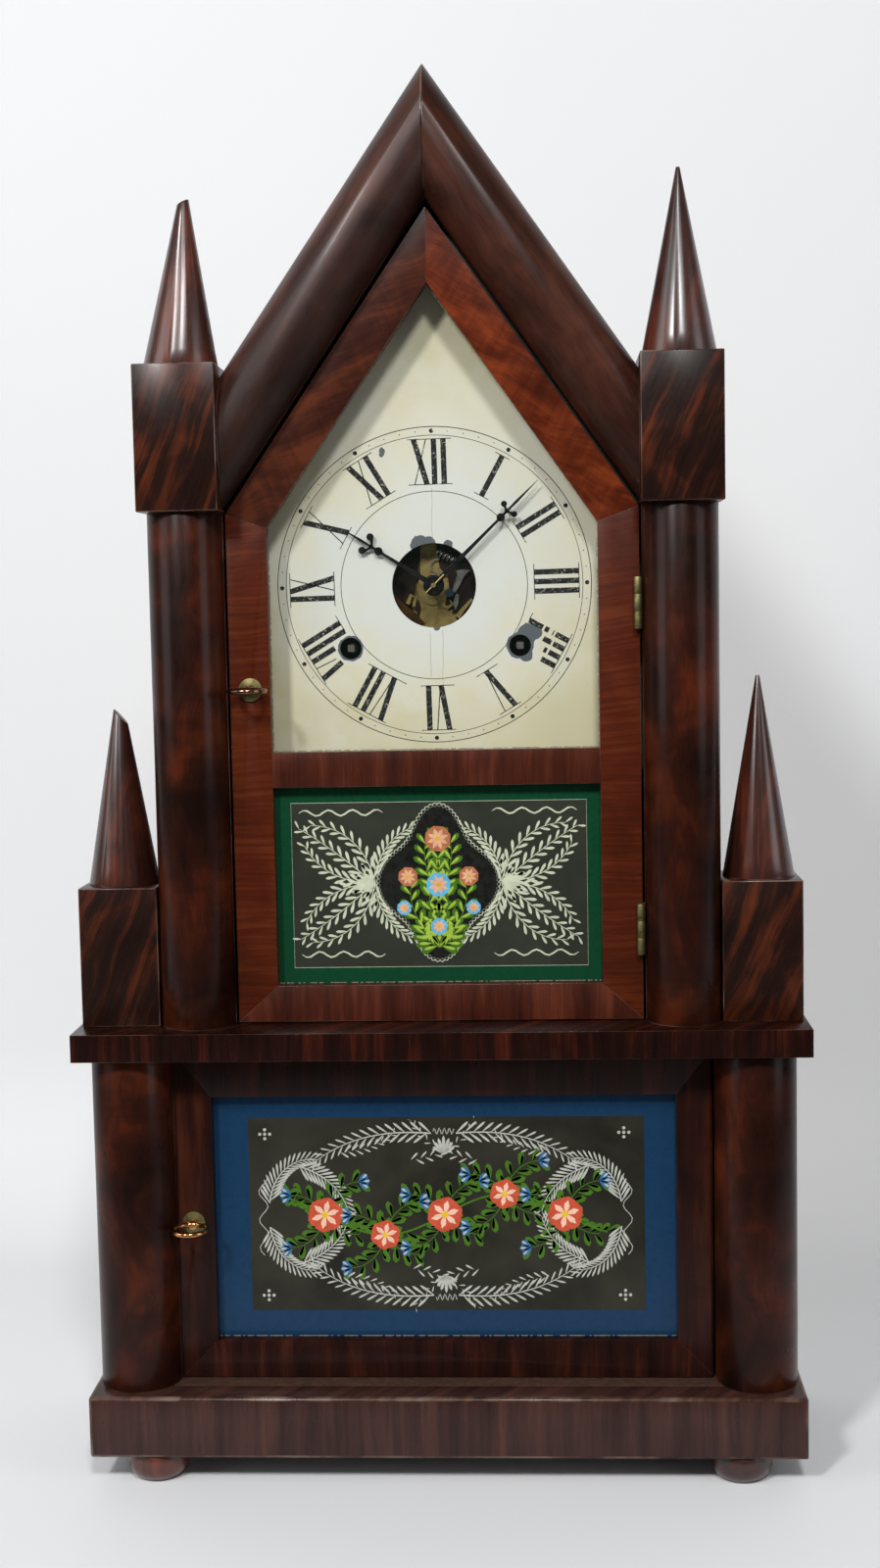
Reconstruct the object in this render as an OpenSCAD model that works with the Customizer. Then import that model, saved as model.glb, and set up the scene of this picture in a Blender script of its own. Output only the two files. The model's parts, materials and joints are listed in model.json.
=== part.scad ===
// Double-steeple shelf clock of about 1845, in millimetres.
// The origin is on the table under the middle of the clock: X to the right, Y to the back, Z up.

/* [Overall] */
// Height of the gable's peak above the table
clock_h = 661; // [658:0.5:663]
// Depth from the waist shelf's front edge to the back of the case
clock_d = 118; // [118:0.5:121]
// Slope of the gable in degrees
gable_pitch = 55.1; // [54.9:0.1:55.2]

/* [Base and waist] */
// Diameter of a turned foot
foot_d = 30; // [24:1:30]
// Height of a turned foot
foot_h = 13.8; // [12:0.2:15]
// Half the width of the base
base_half_w = 170; // [169.5:0.5:171]
// Height of the base's top above the table
base_top = 43.6; // [42:0.2:44]
// Height of the underside of the waist shelf
waist_z = 205.5; // [204.5:0.5:206.5]
// Thickness of the waist shelf
waist_t = 13; // [11.5:0.5:14]
// Half the width of the waist shelf
waist_half_w = 172.4; // [171.5:0.1:174]
// How far the waist shelf stands in front of the doors
waist_reach = 25; // [24:0.5:26]

/* [Columns, blocks and spires] */
// Radius of the lower half-round columns
low_column_r = 19.3; // [18.5:0.1:19.3]
// Distance of a lower column's middle from the centre line
low_column_x = 148.5; // [148.5:0.1:149]
// Radius of the upper half-round columns
up_column_r = 17.6; // [17:0.1:17.6]
// Distance of an upper column's middle from the centre line
up_column_x = 115.2; // [115.2:0.1:115.4]
// Height of the top of the upper columns
up_column_top = 460.5; // [460.5:0.5:463]
// Height of an upper block
up_block_h = 67; // [60:1:72]
// Height of a lower block
low_block_h = 66.5; // [60:0.5:70]
// Radius of a spire at its foot
spire_r = 17.4; // [16:0.1:18]
// Height of an upper spire
up_spire_h = 84; // [82:1:88]
// Height of a lower spire
low_spire_h = 95; // [92:1:98]
// Height that the worn upper left spire has left
worn_spire_h = 76; // [74:0.5:79]
// Lean of the upper left spire to the middle, in degrees
spire_lean = 2.6; // [0:0.1:3]

/* [Gable and doors] */
// Radius of the half-round gable moulding
moulding_r = 17.1; // [16.9:0.1:17.2]
// Thickness of both doors
door_t = 14; // [13:0.5:14]
// Half the width of the upper door
up_door_half_w = 96.2; // [95.8:0.1:96.2]
// Height of the upper door's peak above the table
up_door_peak = 597.5; // [596:0.5:597.5]
// Width of the upper door's stiles
up_stile_w = 19; // [17:0.5:20]
// Height of the upper door's bottom rail
up_rail_h = 17.3; // [15:0.1:19]
// Height of the middle rail's lower edge above the table
mid_rail_z = 331; // [326:1:333]
// Height of the middle rail
mid_rail_h = 16.7; // [15:0.1:18]
// Half the width of the lower door
low_door_half_w = 128.6; // [128:0.1:128.6]
// Width of the lower door's stiles
low_stile_w = 17.5; // [15:0.5:19]
// Height of the lower door's bottom rail
low_rail_h = 18; // [16:0.5:20]
// Height of the lower door's top rail
low_top_rail_h = 22.5; // [20:0.5:25]

/* [Dial and hands] */
// Height of the hands' centre above the table
hand_z = 425; // [424.5:0.5:426]
// Diameter of the hole in the middle of the dial
dial_hole_d = 40; // [36:1:42]
// Diameter of the winding holes
winding_hole_d = 10.3; // [9:0.1:11]
// Distance of a winding hole from the centre line
winding_x = 40.4; // [40.2:0.1:40.6]
// How far the winding holes lie below the hands' centre
winding_drop = 29.2; // [29:0.1:29.4]
// Length of the minute hand
minute_l = 69; // [62:0.5:70]
// Length of the hour hand
hour_l = 52; // [46:0.5:54]
// Direction of the minute hand, clockwise from twelve
minute_dir = 46; // [0:1:360]
// Direction of the hour hand, clockwise from twelve
hour_dir = 302.5; // [0:0.5:360]

/* [Pendulum, gong and spring] */
// Length of the pendulum from its bending point to the middle of the bob
pendulum_l = 220.5; // [216:0.5:222]
// Radius of the pendulum bob
bob_r = 19; // [15:1:20]
// Outer radius of the wire gong
gong_r = 42; // [38:1:42]
// Length of a draw lever from its pivot to its tip
lever_l = 96; // [94:0.5:97]
// Half the span of the leaf spring
spring_half_l = 106; // [104:0.5:107]

/* [Hidden] */
$fn = 96;

// Planes from front to back
front = -clock_d / 2;
back = clock_d / 2;
door_front = front + waist_reach;
door_back = door_front + door_t;
stile_back = door_front + 18;
dial_back = stile_back + 0.8;
backboard_front = back - 6;
plate_y = stile_back + 10;
plate_t = 1.6;
plate_gap = 22.4;
plate_in = plate_y + plate_t;
back_plate_y = plate_in + plate_gap;
back_plate_out = back_plate_y + plate_t;
glass_y = door_front + 6;
glass_t = 2;

// Heights and widths of the case
waist_top = waist_z + waist_t;
rise = tan(gable_pitch);
band_h = 2 * moulding_r / cos(gable_pitch);
roof_h = 10 / cos(gable_pitch);
face_edge = 97.5;
up_side_out = 133;
up_side_in = 121;
low_face_edge = 129.2;
low_side_out = 167.8;
low_side_in = 153.8;
up_block_x = [96.5, 134.3];
up_block_y = [door_front - 20, stile_back];
low_block_x = [up_side_out, 170.5];
low_block_y = [door_front - 6.5, door_front + 31];
foot_x = 140;
rebate = 4;
glass_gap = 0.5;

// Hinges and latches
hinge_x = 95.4;
hinge_y = door_front - 3;
hinge_r = 2.1;
hinge_pin_r = 0.8;
hinge_l = 24;
hinge_zs = [250.3, 402.9];
leaf_t = 0.5;
leaf_edge = door_front - 0.4;
leaf_end = door_front + 12;
pivot_r = 1;
pivot_x = low_door_half_w - 2.5;
pivot_y = door_front + 2.5;
up_latch = [-86.5, 377.5];
low_latch = [-121, 121];
spindle_r = 1.25;

// Wheels of the movement, placed from the hands' centre
backlash = 0.12;
pressure = 20;
great_n = 52;
great_m = 1;
second_n = 50;
second_m = 0.8;
third_n = 45;
third_m = 0.7;
pinion_n = 10;
fly_n = 8;
motion_m = 0.75;
cannon_n = 12;
minute_n = 36;
hour_m = 0.6;
hour_n = 48;
great_d = great_m * (great_n + pinion_n) / 2;
second_d = second_m * (second_n + pinion_n) / 2;
third_d = third_m * (third_n + pinion_n) / 2;
fly_d = third_m * (third_n + fly_n) / 2;
motion_d = motion_m * (cannon_n + minute_n) / 2;
centre_at = [0, 0];
time_great_at = [winding_x, -winding_drop];
strike_great_at = [-winding_x, -winding_drop];
time_second_at = meet(centre_at, second_d, time_great_at, great_d);
strike_second_at = [-time_second_at[0], time_second_at[1]];
third_at = toward(centre_at, 60, second_d);
escape_at = [0, third_at[1] + sqrt(third_d * third_d - third_at[0] * third_at[0])];
pin_at = toward(strike_second_at, 105, second_d);
fly_at = toward(pin_at, 70, fly_d);
minute_at = [0, -motion_d];
verge_at = [0, 57.5];
hammer_at = [-52, -38];
pillar_at = [[0, -45], [-50, 8], [50, 8], [-44, 45], [44, 45]];
arbor_r = 1.2;
tip_r = 0.8;
winding_r = 2;
running = 0.05;
pendulum_y = back_plate_out + 8.4;
escape_y = back_plate_out + 1.4;
verge_y = back_plate_out + 1.4;

// Striking, pendulum and spring
gong_z = 270;
gong_y = backboard_front - 14;
hammer_y = gong_y + 1.5;
pendulum_top = hand_z + verge_at[1];
drum_y = plate_in + 1.4;
drum_core_r = 7.15;
cord_r = 0.8;
cord_x = winding_x - drum_core_r - cord_r - 0.05;
cord_y = drum_y + 3.3;
lever_rest = 25;
lever_x = cord_x + lever_l * cos(lever_rest);
lever_z = 95;
lever_y = [cord_y - 2, cord_y + 2];
lever_tip_z = lever_z - lever_l * sin(lever_rest);
link_arm = 14;
link_x = lever_x - link_arm * cos(lever_rest);
link_z = lever_z - link_arm * sin(lever_rest);
link_y = [lever_y[1] + 0.4, lever_y[1] + 2.4];
spring_y = [link_y[1] + 0.6, link_y[1] + 24.6];
spring_z = base_top + 6;
leaf_count = 4;
leaf_step = 1.9;
leaf_gap = 0.1;
spring_sag = 10;
spring_r = (spring_half_l * spring_half_l + spring_sag * spring_sag) / (2 * spring_sag);

// Point at distance d from p, in the direction of angle a
function toward(p, a, d) = [p[0] + d * cos(a), p[1] + d * sin(a)];
// Point at distance dp from p and dq from q, above the line between them
function meet(p, dp, q, dq) = let(
    v = q - p,
    l = norm(v),
    a = (dp * dp - dq * dq + l * l) / (2 * l),
    h = sqrt(dp * dp - a * a))
    [p[0] + (a * v[0] - h * v[1]) / l, p[1] + (a * v[1] + h * v[0]) / l];
// Direction from p to q in degrees
function heading(p, q) = atan2(q[1] - p[1], q[0] - p[0]);
// Turn of the second gear at which its gap faces the first gear's tooth
function mesh_turn(na, turn_a, nb, dir) =
    dir + 180 + ((dir - turn_a) * na / 360 - 0.5) * 360 / nb;

function involute(a) = tan(a) * 180 / PI - a;
// Half the angle that a tooth takes at radius r
function half_tooth(n, m, r) = let(
    base_r = n * m / 2 * cos(pressure),
    at_base = 90 / n * (1 - backlash) + involute(pressure))
    r <= base_r ? at_base : at_base - involute(acos(base_r / r));
// Radii of a tooth's corners, from the root to the tip
function tooth_radii(n, m, add) = let(
    pitch_r = n * m / 2,
    base_r = pitch_r * cos(pressure),
    root_r = pitch_r - 1.15 * m,
    tip = pitch_r + add * m)
    root_r < base_r ? [root_r, base_r, pitch_r, tip] : [root_r, tip];
function flank(n, m, radii, i, side) = [for (r = radii)
    let(a = 360 * i / n + side * half_tooth(n, m, r)) [r * cos(a), r * sin(a)]];
function reversed(v) = [for (i = [len(v) - 1:-1:0]) v[i]];
function gear_outline(n, m, add) = let(radii = tooth_radii(n, m, add))
    [for (i = [0:n - 1]) each concat(flank(n, m, radii, i, -1), reversed(flank(n, m, radii, i, 1)))];

// Block between two corners
module block(x, y, z) {
    translate([x[0], y[0], z[0]])
        cube([x[1] - x[0], y[1] - y[0], z[1] - z[0]]);
}

// The same thing on the right and on the left
module pair() {
    children();
    mirror([1, 0, 0]) children();
}

// Flat shape seen from the front, from the depth y[0] to y[1]
module upright(y) {
    translate([0, y[1], 0])
        rotate([90, 0, 0])
            linear_extrude(height = y[1] - y[0]) children();
}

// Round bar along the depth, at p = [x, z]
module bar(p, y, r) {
    translate([p[0], y[1], p[1]])
        rotate([90, 0, 0])
            cylinder(h = y[1] - y[0], r = r);
}

// Moves a shape from the hands' centre frame to the clock
module at_hands() {
    translate([0, 0, hand_z]) children();
}

// Half-round column whose flat side lies on the plane of the doors
module half_column(x, z, r) {
    translate([x, door_front, z[0]])
        rotate([0, 0, 180])
            rotate_extrude(angle = 180) square([r, z[1] - z[0]]);
}

// Turned foot: widest above the middle, drawn in to a flat face below
module bun_feet() {
    r = foot_d / 2;
    belly = 0.62 * foot_h;
    inset = r + 1.5;
    lower = [for (a = [-90:15:0]) [r * (0.55 + 0.45 * cos(a)), belly * (1 + sin(a))]];
    upper = [for (a = [20:20:60]) [r * (0.85 + 0.15 * cos(a)), belly + (foot_h - belly) * sin(a) / sin(60)]];
    color("#3a1710")
        for (x = [-foot_x, foot_x], y = [front + inset, back - inset])
            translate([x, y, 0])
                rotate_extrude()
                    polygon(concat([[0, 0]], lower, upper, [[0, foot_h]]));
}

module base_boards() {
    side_in = base_half_w - 16;
    color("#4a1f14") {
        block([-base_half_w, base_half_w], [front + 0.5, front + 16.5], [foot_h, base_top]);
        pair() block([side_in, base_half_w], [front + 16.5, back], [foot_h, base_top]);
        block([-side_in, side_in], [back - 12, back], [foot_h, base_top - 8]);
    }
}

module base_floor() {
    half_w = base_half_w - 16;
    color("#6b4a2e")
        difference() {
            block([-half_w, half_w], [front + 16.5, back], [base_top - 8, base_top]);
            translate([pivot_x, pivot_y, base_top - 5]) cylinder(h = 6, r = pivot_r + running);
        }
}

module lower_backboard() {
    color("#6b4a2e")
        block([-low_side_in, low_side_in], [backboard_front, back], [base_top, waist_z]);
}

module face_stiles() {
    color("#45190f")
        pair() {
            block([low_face_edge, low_side_in], [door_front, stile_back], [base_top, waist_z]);
            block([face_edge, up_side_out], [door_front, stile_back], [waist_top, up_column_top]);
        }
}

module side_boards() {
    roof_z = clock_h - roof_h - rise * up_side_in;
    color("#45190f")
        pair() {
            block([low_side_in, low_side_out], [door_front, back], [base_top, waist_z]);
            upright([stile_back, back])
                polygon([[up_side_in, waist_top], [up_side_out, waist_top],
                    [up_side_out, roof_z - rise * (up_side_out - up_side_in)], [up_side_in, roof_z]]);
        }
}

module lower_columns() {
    color("#3d150d")
        pair() half_column(low_column_x, [base_top, waist_z], low_column_r);
}

module upper_columns() {
    color("#3d150d")
        pair() half_column(up_column_x, [waist_top, up_column_top], up_column_r);
}

// Shelf between the two tiers, with a hole for each draw cord and the lower door's top pivot
module waist_shelf() {
    color("#4a1f14")
        difference() {
            block([-waist_half_w, waist_half_w], [front, back], [waist_z, waist_top]);
            for (x = [-cord_x, cord_x])
                translate([x, cord_y, waist_z - 1]) cylinder(h = waist_t + 2, r = 7);
            translate([pivot_x, pivot_y, waist_z - 1]) cylinder(h = 6, r = pivot_r + running);
        }
}

module spire_blocks() {
    color("#35130c")
        pair() {
            block(up_block_x, up_block_y, [up_column_top, up_column_top + up_block_h]);
            block(low_block_x, low_block_y, [waist_top, waist_top + low_block_h]);
        }
}

module spire(x, y, z, h, r) {
    translate([(x[0] + x[1]) / 2, (y[0] + y[1]) / 2, z])
        cylinder(h = h, r1 = r, r2 = 0.9);
}

// Upper left spire: it leans to the middle, its foot is cut level and its tip is chipped aslant
module leaning_spire(z) {
    sink = 2;
    middle = 0.8 - (up_block_x[0] + up_block_x[1]) / 2;
    taper = (spire_r - 0.9) / up_spire_h;
    tip_x = middle + worn_spire_h * sin(spire_lean) + 2;
    difference() {
        translate([middle, (up_block_y[0] + up_block_y[1]) / 2, z])
            rotate([0, spire_lean, 0])
                translate([0, 0, -sink])
                    cylinder(h = up_spire_h + sink, r1 = spire_r + taper * sink, r2 = 0.9);
        translate([middle - 30, up_block_y[0] - 2, z - 10]) cube([60, 50, 10]);
        translate([tip_x, up_block_y[0], z + worn_spire_h])
            rotate([0, -25, 0])
                translate([-30, 0, 0]) cube([60, 40, 30]);
    }
}

// The left spires are worn: the upper one leans and is blunt, the lower one is split off aslant
module spires() {
    up_z = up_column_top + up_block_h;
    low_z = waist_top + low_block_h;
    left_x = [-low_block_x[1], -low_block_x[0]];
    color("#451a12") {
        spire(up_block_x, up_block_y, up_z, up_spire_h, spire_r);
        leaning_spire(up_z);
        spire(low_block_x, low_block_y, low_z, low_spire_h, spire_r - 0.4);
        difference() {
            spire(left_x, low_block_y, low_z, low_spire_h, spire_r - 0.4);
            translate([(left_x[0] + left_x[1]) / 2 - 2.9, low_block_y[0], low_z + 84.5])
                rotate([0, 48, 0])
                    translate([-40, 0, 0]) cube([80, 40, 60]);
        }
    }
}

module upper_backboard() {
    edge_z = clock_h - roof_h - rise * up_side_in;
    color("#6b4a2e")
        upright([backboard_front, back])
            polygon([[-up_side_in, waist_top], [up_side_in, waist_top], [up_side_in, edge_z],
                [0, clock_h - roof_h], [-up_side_in, edge_z]]);
}

// Boards behind the half-round mouldings
module gable_face_boards() {
    x = up_block_x[0];
    color("#45190f")
        pair()
            upright([door_front, stile_back])
                polygon([[0, clock_h - band_h], [0, clock_h],
                    [x, clock_h - rise * x], [x, clock_h - band_h - rise * x]]);
}

module gable_mouldings() {
    axis_z = clock_h - band_h / 2;
    color("#3f1a10")
        pair()
            intersection() {
                translate([0, door_front, axis_z])
                    rotate([0, 90 + gable_pitch, 0])
                        translate([0, 0, -60]) cylinder(h = 280, r = moulding_r);
                block([0, up_block_x[0]], [door_front - 30, door_front], [400, clock_h + 20]);
            }
}

module roof_boards() {
    color("#45190f")
        pair()
            upright([stile_back, back])
                polygon([[0, clock_h], [up_side_out, clock_h - rise * up_side_out],
                    [up_side_out, clock_h - roof_h - rise * up_side_out], [0, clock_h - roof_h]]);
}

module dial() {
    half_w = 104;
    peak = 640;
    color("#dcd9c4")
        difference() {
            upright([stile_back, dial_back])
                polygon([[-half_w, 336], [half_w, 336], [half_w, peak - rise * half_w],
                    [0, peak], [-half_w, peak - rise * half_w]]);
            bar([0, hand_z], [stile_back - 1, dial_back + 1], dial_hole_d / 2);
            for (x = [-winding_x, winding_x])
                bar([x, hand_z - winding_drop], [stile_back - 1, dial_back + 1], winding_hole_d / 2);
        }
}

// Brass plates on the left stiles that the latches turn behind
module latch_keepers() {
    y = [door_back + 0.4, door_back + 1.2];
    color("#8d7a3c") {
        block([-face_edge, -face_edge + 5.5], y, [up_latch[1] - 7, up_latch[1] + 7]);
        block([-low_face_edge, -low_face_edge + 4.7], y, [low_latch[1] - 7, low_latch[1] + 7]);
    }
}

// Knuckle of a hinge with its leaf; x is the leaf's inner face
module hinge_leaf(z0, x, knuckles, bore_r) {
    knuckle_l = hinge_l / 3;
    difference() {
        union() {
            block([x, x + leaf_t], [leaf_edge, leaf_end], [z0, z0 + hinge_l]);
            for (k = knuckles) {
                span = [z0 + k * knuckle_l + 0.05, z0 + (k + 1) * knuckle_l - 0.05];
                block([x, x + leaf_t], [hinge_y + 0.8, leaf_edge], span);
                translate([hinge_x, hinge_y, span[0]]) cylinder(h = span[1] - span[0], r = hinge_r);
            }
        }
        translate([hinge_x, hinge_y, z0 - 1]) cylinder(h = hinge_l + 2, r = bore_r);
    }
}

// Two butt hinges: the leaves on the case and their pins
module hinge_case_leaves() {
    color("#7d6f3a")
        for (z0 = hinge_zs) {
            hinge_leaf(z0, face_edge - leaf_t, [0, 2], hinge_pin_r);
            translate([hinge_x, hinge_y, z0]) cylinder(h = hinge_l, r = hinge_pin_r);
        }
}

module hinge_door_leaves() {
    color("#7d6f3a")
        for (z0 = hinge_zs)
            hinge_leaf(z0, up_door_half_w, [1], hinge_pin_r + running);
}

// One member of a door: the face in front and the narrower part behind it, where the glass lies
module member(face, rear) {
    upright([door_front, glass_y]) polygon(face);
    upright([glass_y, door_back]) polygon(rear);
}

// Height of a line parallel to the gable that meets x = 0 at the height peak
function slope_z(peak, x) = peak - rise * x;

up_in_w = up_door_half_w - up_stile_w;
glass_peak = up_door_peak - 34;
shoulder_out = slope_z(up_door_peak, up_door_half_w);
shoulder_in = slope_z(glass_peak, up_in_w);
rebate_peak = glass_peak + rebate / cos(gable_pitch);
shoulder_rebate = slope_z(rebate_peak, up_in_w + rebate);
up_rail_top = waist_top + 0.5 + up_rail_h;
latch_hole = [door_front - 1, door_back + 1];

module upper_door_stiles() {
    out = up_door_half_w;
    z0 = waist_top + 0.5;
    color("#5a2115")
        difference() {
            pair()
                member([[out, z0], [out, shoulder_out], [up_in_w, shoulder_in], [up_in_w, up_rail_top]],
                    [[out, z0], [out, shoulder_out], [up_in_w + rebate, shoulder_rebate],
                    [up_in_w + rebate, up_rail_top - rebate]]);
            bar(up_latch, latch_hole, spindle_r + running);
        }
}

module upper_door_gable_rails() {
    out = up_door_half_w;
    color("#5a2115")
        pair()
            member([[out, shoulder_out], [0, up_door_peak], [0, glass_peak], [up_in_w, shoulder_in]],
                [[out, shoulder_out], [0, up_door_peak], [0, rebate_peak],
                [up_in_w + rebate, shoulder_rebate]]);
}

module upper_door_cross_rails() {
    z0 = waist_top + 0.5;
    z1 = mid_rail_z + mid_rail_h;
    wide = up_in_w + rebate;
    color("#511d12") {
        member([[-up_door_half_w, z0], [up_door_half_w, z0], [up_in_w, up_rail_top], [-up_in_w, up_rail_top]],
            [[-up_door_half_w, z0], [up_door_half_w, z0], [wide, up_rail_top - rebate],
            [-wide, up_rail_top - rebate]]);
        member([[-up_in_w, mid_rail_z], [up_in_w, mid_rail_z], [up_in_w, z1], [-up_in_w, z1]],
            [[-wide, mid_rail_z + rebate], [wide, mid_rail_z + rebate], [wide, z1 - rebate],
            [-wide, z1 - rebate]]);
    }
}

module upper_glass() {
    w = up_in_w + rebate - glass_gap;
    peak = rebate_peak - glass_gap / cos(gable_pitch);
    z0 = mid_rail_z + mid_rail_h - rebate + glass_gap;
    color([0.8, 0.85, 0.85, 0.35])
        upright([glass_y, glass_y + glass_t])
            polygon([[-w, z0], [w, z0], [w, slope_z(peak, w)], [0, peak], [-w, slope_z(peak, w)]]);
}

module tablet_glass(half_w, z) {
    block([-half_w, half_w], [glass_y, glass_y + glass_t], z);
}

module upper_tablet() {
    color("#2f4a38")
        tablet_glass(up_in_w + rebate - glass_gap,
            [up_rail_top - rebate + glass_gap, mid_rail_z + rebate - glass_gap]);
}

low_in_w = low_door_half_w - low_stile_w;
low_z0 = base_top + 0.6;
low_z1 = waist_z - 0.5;
low_in_z = [low_z0 + low_rail_h, low_z1 - low_top_rail_h];

module lower_door_stiles() {
    w = low_in_w + rebate;
    round_r = low_door_half_w - pivot_x;
    color("#4d1b11")
        difference() {
            pair()
                member([[low_door_half_w, low_z0], [low_door_half_w, low_z1], [low_in_w, low_in_z[1]],
                    [low_in_w, low_in_z[0]]],
                    [[low_door_half_w, low_z0], [low_door_half_w, low_z1], [w, low_in_z[1] + rebate],
                    [w, low_in_z[0] - rebate]]);
            bar(low_latch, latch_hole, spindle_r + running);
            difference() {
                block([pivot_x, pivot_x + 5], [door_front - 1, pivot_y], [low_z0 - 1, low_z1 + 1]);
                translate([pivot_x, pivot_y, low_z0 - 2]) cylinder(h = 200, r = round_r);
            }
            translate([pivot_x, pivot_y, low_z0 - 1]) cylinder(h = 7, r = pivot_r);
            translate([pivot_x, pivot_y, low_z1 - 6]) cylinder(h = 7, r = pivot_r);
        }
}

module lower_door_rails() {
    w = low_in_w + rebate;
    out = low_door_half_w;
    color("#4d1b11")
        difference() {
            union() {
                member([[-out, low_z0], [out, low_z0], [low_in_w, low_in_z[0]], [-low_in_w, low_in_z[0]]],
                    [[-out, low_z0], [out, low_z0], [w, low_in_z[0] - rebate], [-w, low_in_z[0] - rebate]]);
                member([[-out, low_z1], [-low_in_w, low_in_z[1]], [low_in_w, low_in_z[1]], [out, low_z1]],
                    [[-out, low_z1], [-w, low_in_z[1] + rebate], [w, low_in_z[1] + rebate], [out, low_z1]]);
            }
            difference() {
                block([pivot_x, pivot_x + 5], [door_front - 1, pivot_y], [low_z0 - 1, low_z1 + 1]);
                translate([pivot_x, pivot_y, low_z0 - 2]) cylinder(h = 200, r = low_door_half_w - pivot_x);
            }
            translate([pivot_x, pivot_y, low_z0 - 1]) cylinder(h = 7, r = pivot_r);
            translate([pivot_x, pivot_y, low_z1 - 6]) cylinder(h = 7, r = pivot_r);
        }
}

module lower_tablet() {
    color("#24507e")
        tablet_glass(low_in_w + rebate - glass_gap,
            [low_in_z[0] - rebate + glass_gap, low_in_z[1] + rebate - glass_gap]);
}

module lower_door_pins() {
    color("#6f6f6a") {
        translate([pivot_x, pivot_y, base_top - 4]) cylinder(h = low_z0 - base_top + 10, r = pivot_r);
        translate([pivot_x, pivot_y, low_z1 - 6]) cylinder(h = waist_z - low_z1 + 10, r = pivot_r);
    }
}

// Wire bow, rose, spindle and inner hook of a door latch
module latch(p, hook_l) {
    hook_y = [door_back + 1.8, door_back + 2.8];
    bow_r = 8.2;
    wire_r = 1.3;
    color("#a07a3e") {
        bar(p, [door_front - 4, hook_y[1]], spindle_r);
        bar(p, [door_front - 1, door_front - 0.05], 5.5);
        bar(p, [door_front - 4.2, door_front - 1], 2.3);
        translate([p[0], door_front - 3.4 - bow_r, p[1]])
            rotate_extrude() translate([bow_r, 0]) circle(r = wire_r);
        block([p[0] - 2.5, p[0] + 2.5], hook_y, [p[1] - hook_l, p[1] + 2.5]);
    }
}

module upper_latch() {
    latch(up_latch, 9.3);
}

module lower_latch() {
    latch(low_latch, 7.2);
}

module gear(n, m, add, turn, p, y) {
    at_hands()
        upright(y)
            translate(p) rotate(turn) polygon(gear_outline(n, m, add));
}

// Wheel with four round openings between its spokes
module wheel(n, m, turn, p, y) {
    r = n * m / 2;
    hub_r = 4.6;
    middle = (r + hub_r) / 2 - 0.6;
    difference() {
        gear(n, m, 0.8, turn, p, y);
        at_hands()
            for (a = [0:90:270])
                bar(toward(p, turn + a + 45, middle), [y[0] - 1, y[1] + 1], (r - hub_r) / 2 - 2);
    }
}

// Arbor between the plates with a thin pivot in each
module arbor(p) {
    at_hands() {
        bar(p, [plate_in + 0.6, back_plate_y - 0.6], arbor_r);
        bar(p, [plate_y, back_plate_out], tip_r);
    }
}

module plate_outline() {
    difference() {
        polygon([[-56, -38], [-14, -51], [14, -51], [56, -38], [56, 38], [48, 51], [-48, 51], [-56, 38]]);
        polygon([[-18, -12], [-7, -12], [-7, 30], [-16, 30], [-20, 12]]);
        polygon([[8, -14], [17, -12], [18, 12], [8, 12]]);
        polygon([[-30, -40], [-10, -46], [-10, -30], [-22, -22]]);
        polygon([[30, -40], [10, -46], [10, -30], [22, -22]]);
        polygon([[22, 22], [38, 16], [40, 34], [20, 40]]);
    }
}

// Pivot holes that both plates have
module pivot_holes(y) {
    for (p = [time_second_at, strike_second_at, third_at, escape_at, pin_at, fly_at])
        bar(p, y, tip_r + running);
    for (p = [time_great_at, strike_great_at])
        bar(p, y, winding_r + running);
}

module front_plate() {
    y = [plate_y - 1, plate_in + 1];
    color("#a98a3e")
        difference() {
            at_hands() {
                upright([plate_y, plate_in]) plate_outline();
                bar(centre_at, [plate_y, plate_in], 8.2);
                bar(minute_at, [plate_y, plate_in + 4], arbor_r);
            }
            at_hands() {
                pivot_holes(y);
                bar(centre_at, y, 3.1);
            }
        }
}

// Back plate with the studs of the verge and the hammer, and the post that the pendulum hangs from
module back_plate() {
    y = [back_plate_y - 1, back_plate_out + 1];
    post_z = pendulum_top - hand_z;
    color("#a98a3e")
        difference() {
            at_hands() {
                upright([back_plate_y, back_plate_out]) {
                    plate_outline();
                    translate([-9, 50]) square([18, 19]);
                }
                bar(verge_at, [back_plate_out, verge_y + 3.4], 1.5);
                bar(hammer_at, [back_plate_out, hammer_y + 4], 1.5);
                block([-3, 3], [back_plate_out, pendulum_y + 2.5], [post_z + 4.5, post_z + 11]);
                block([-3, 3], [pendulum_y - 2.6, pendulum_y + 2.5], [post_z + 0.7, post_z + 4.5]);
            }
            at_hands() {
                pivot_holes(y);
                bar(centre_at, y, tip_r + running);
                block([-0.5, 0.5], [pendulum_y - 1.5, pendulum_y + 1.5], [post_z, post_z + 3.9]);
            }
        }
}

module plate_pillars() {
    color("#b0924a")
        at_hands()
            for (p = pillar_at)
                bar(p, [plate_in, back_plate_y], 3);
}

module movement_battens() {
    color("#7a5a3a")
        pair() block([40, 50], [back_plate_out, backboard_front], [hand_z - 30, hand_z + 50]);
}

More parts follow.
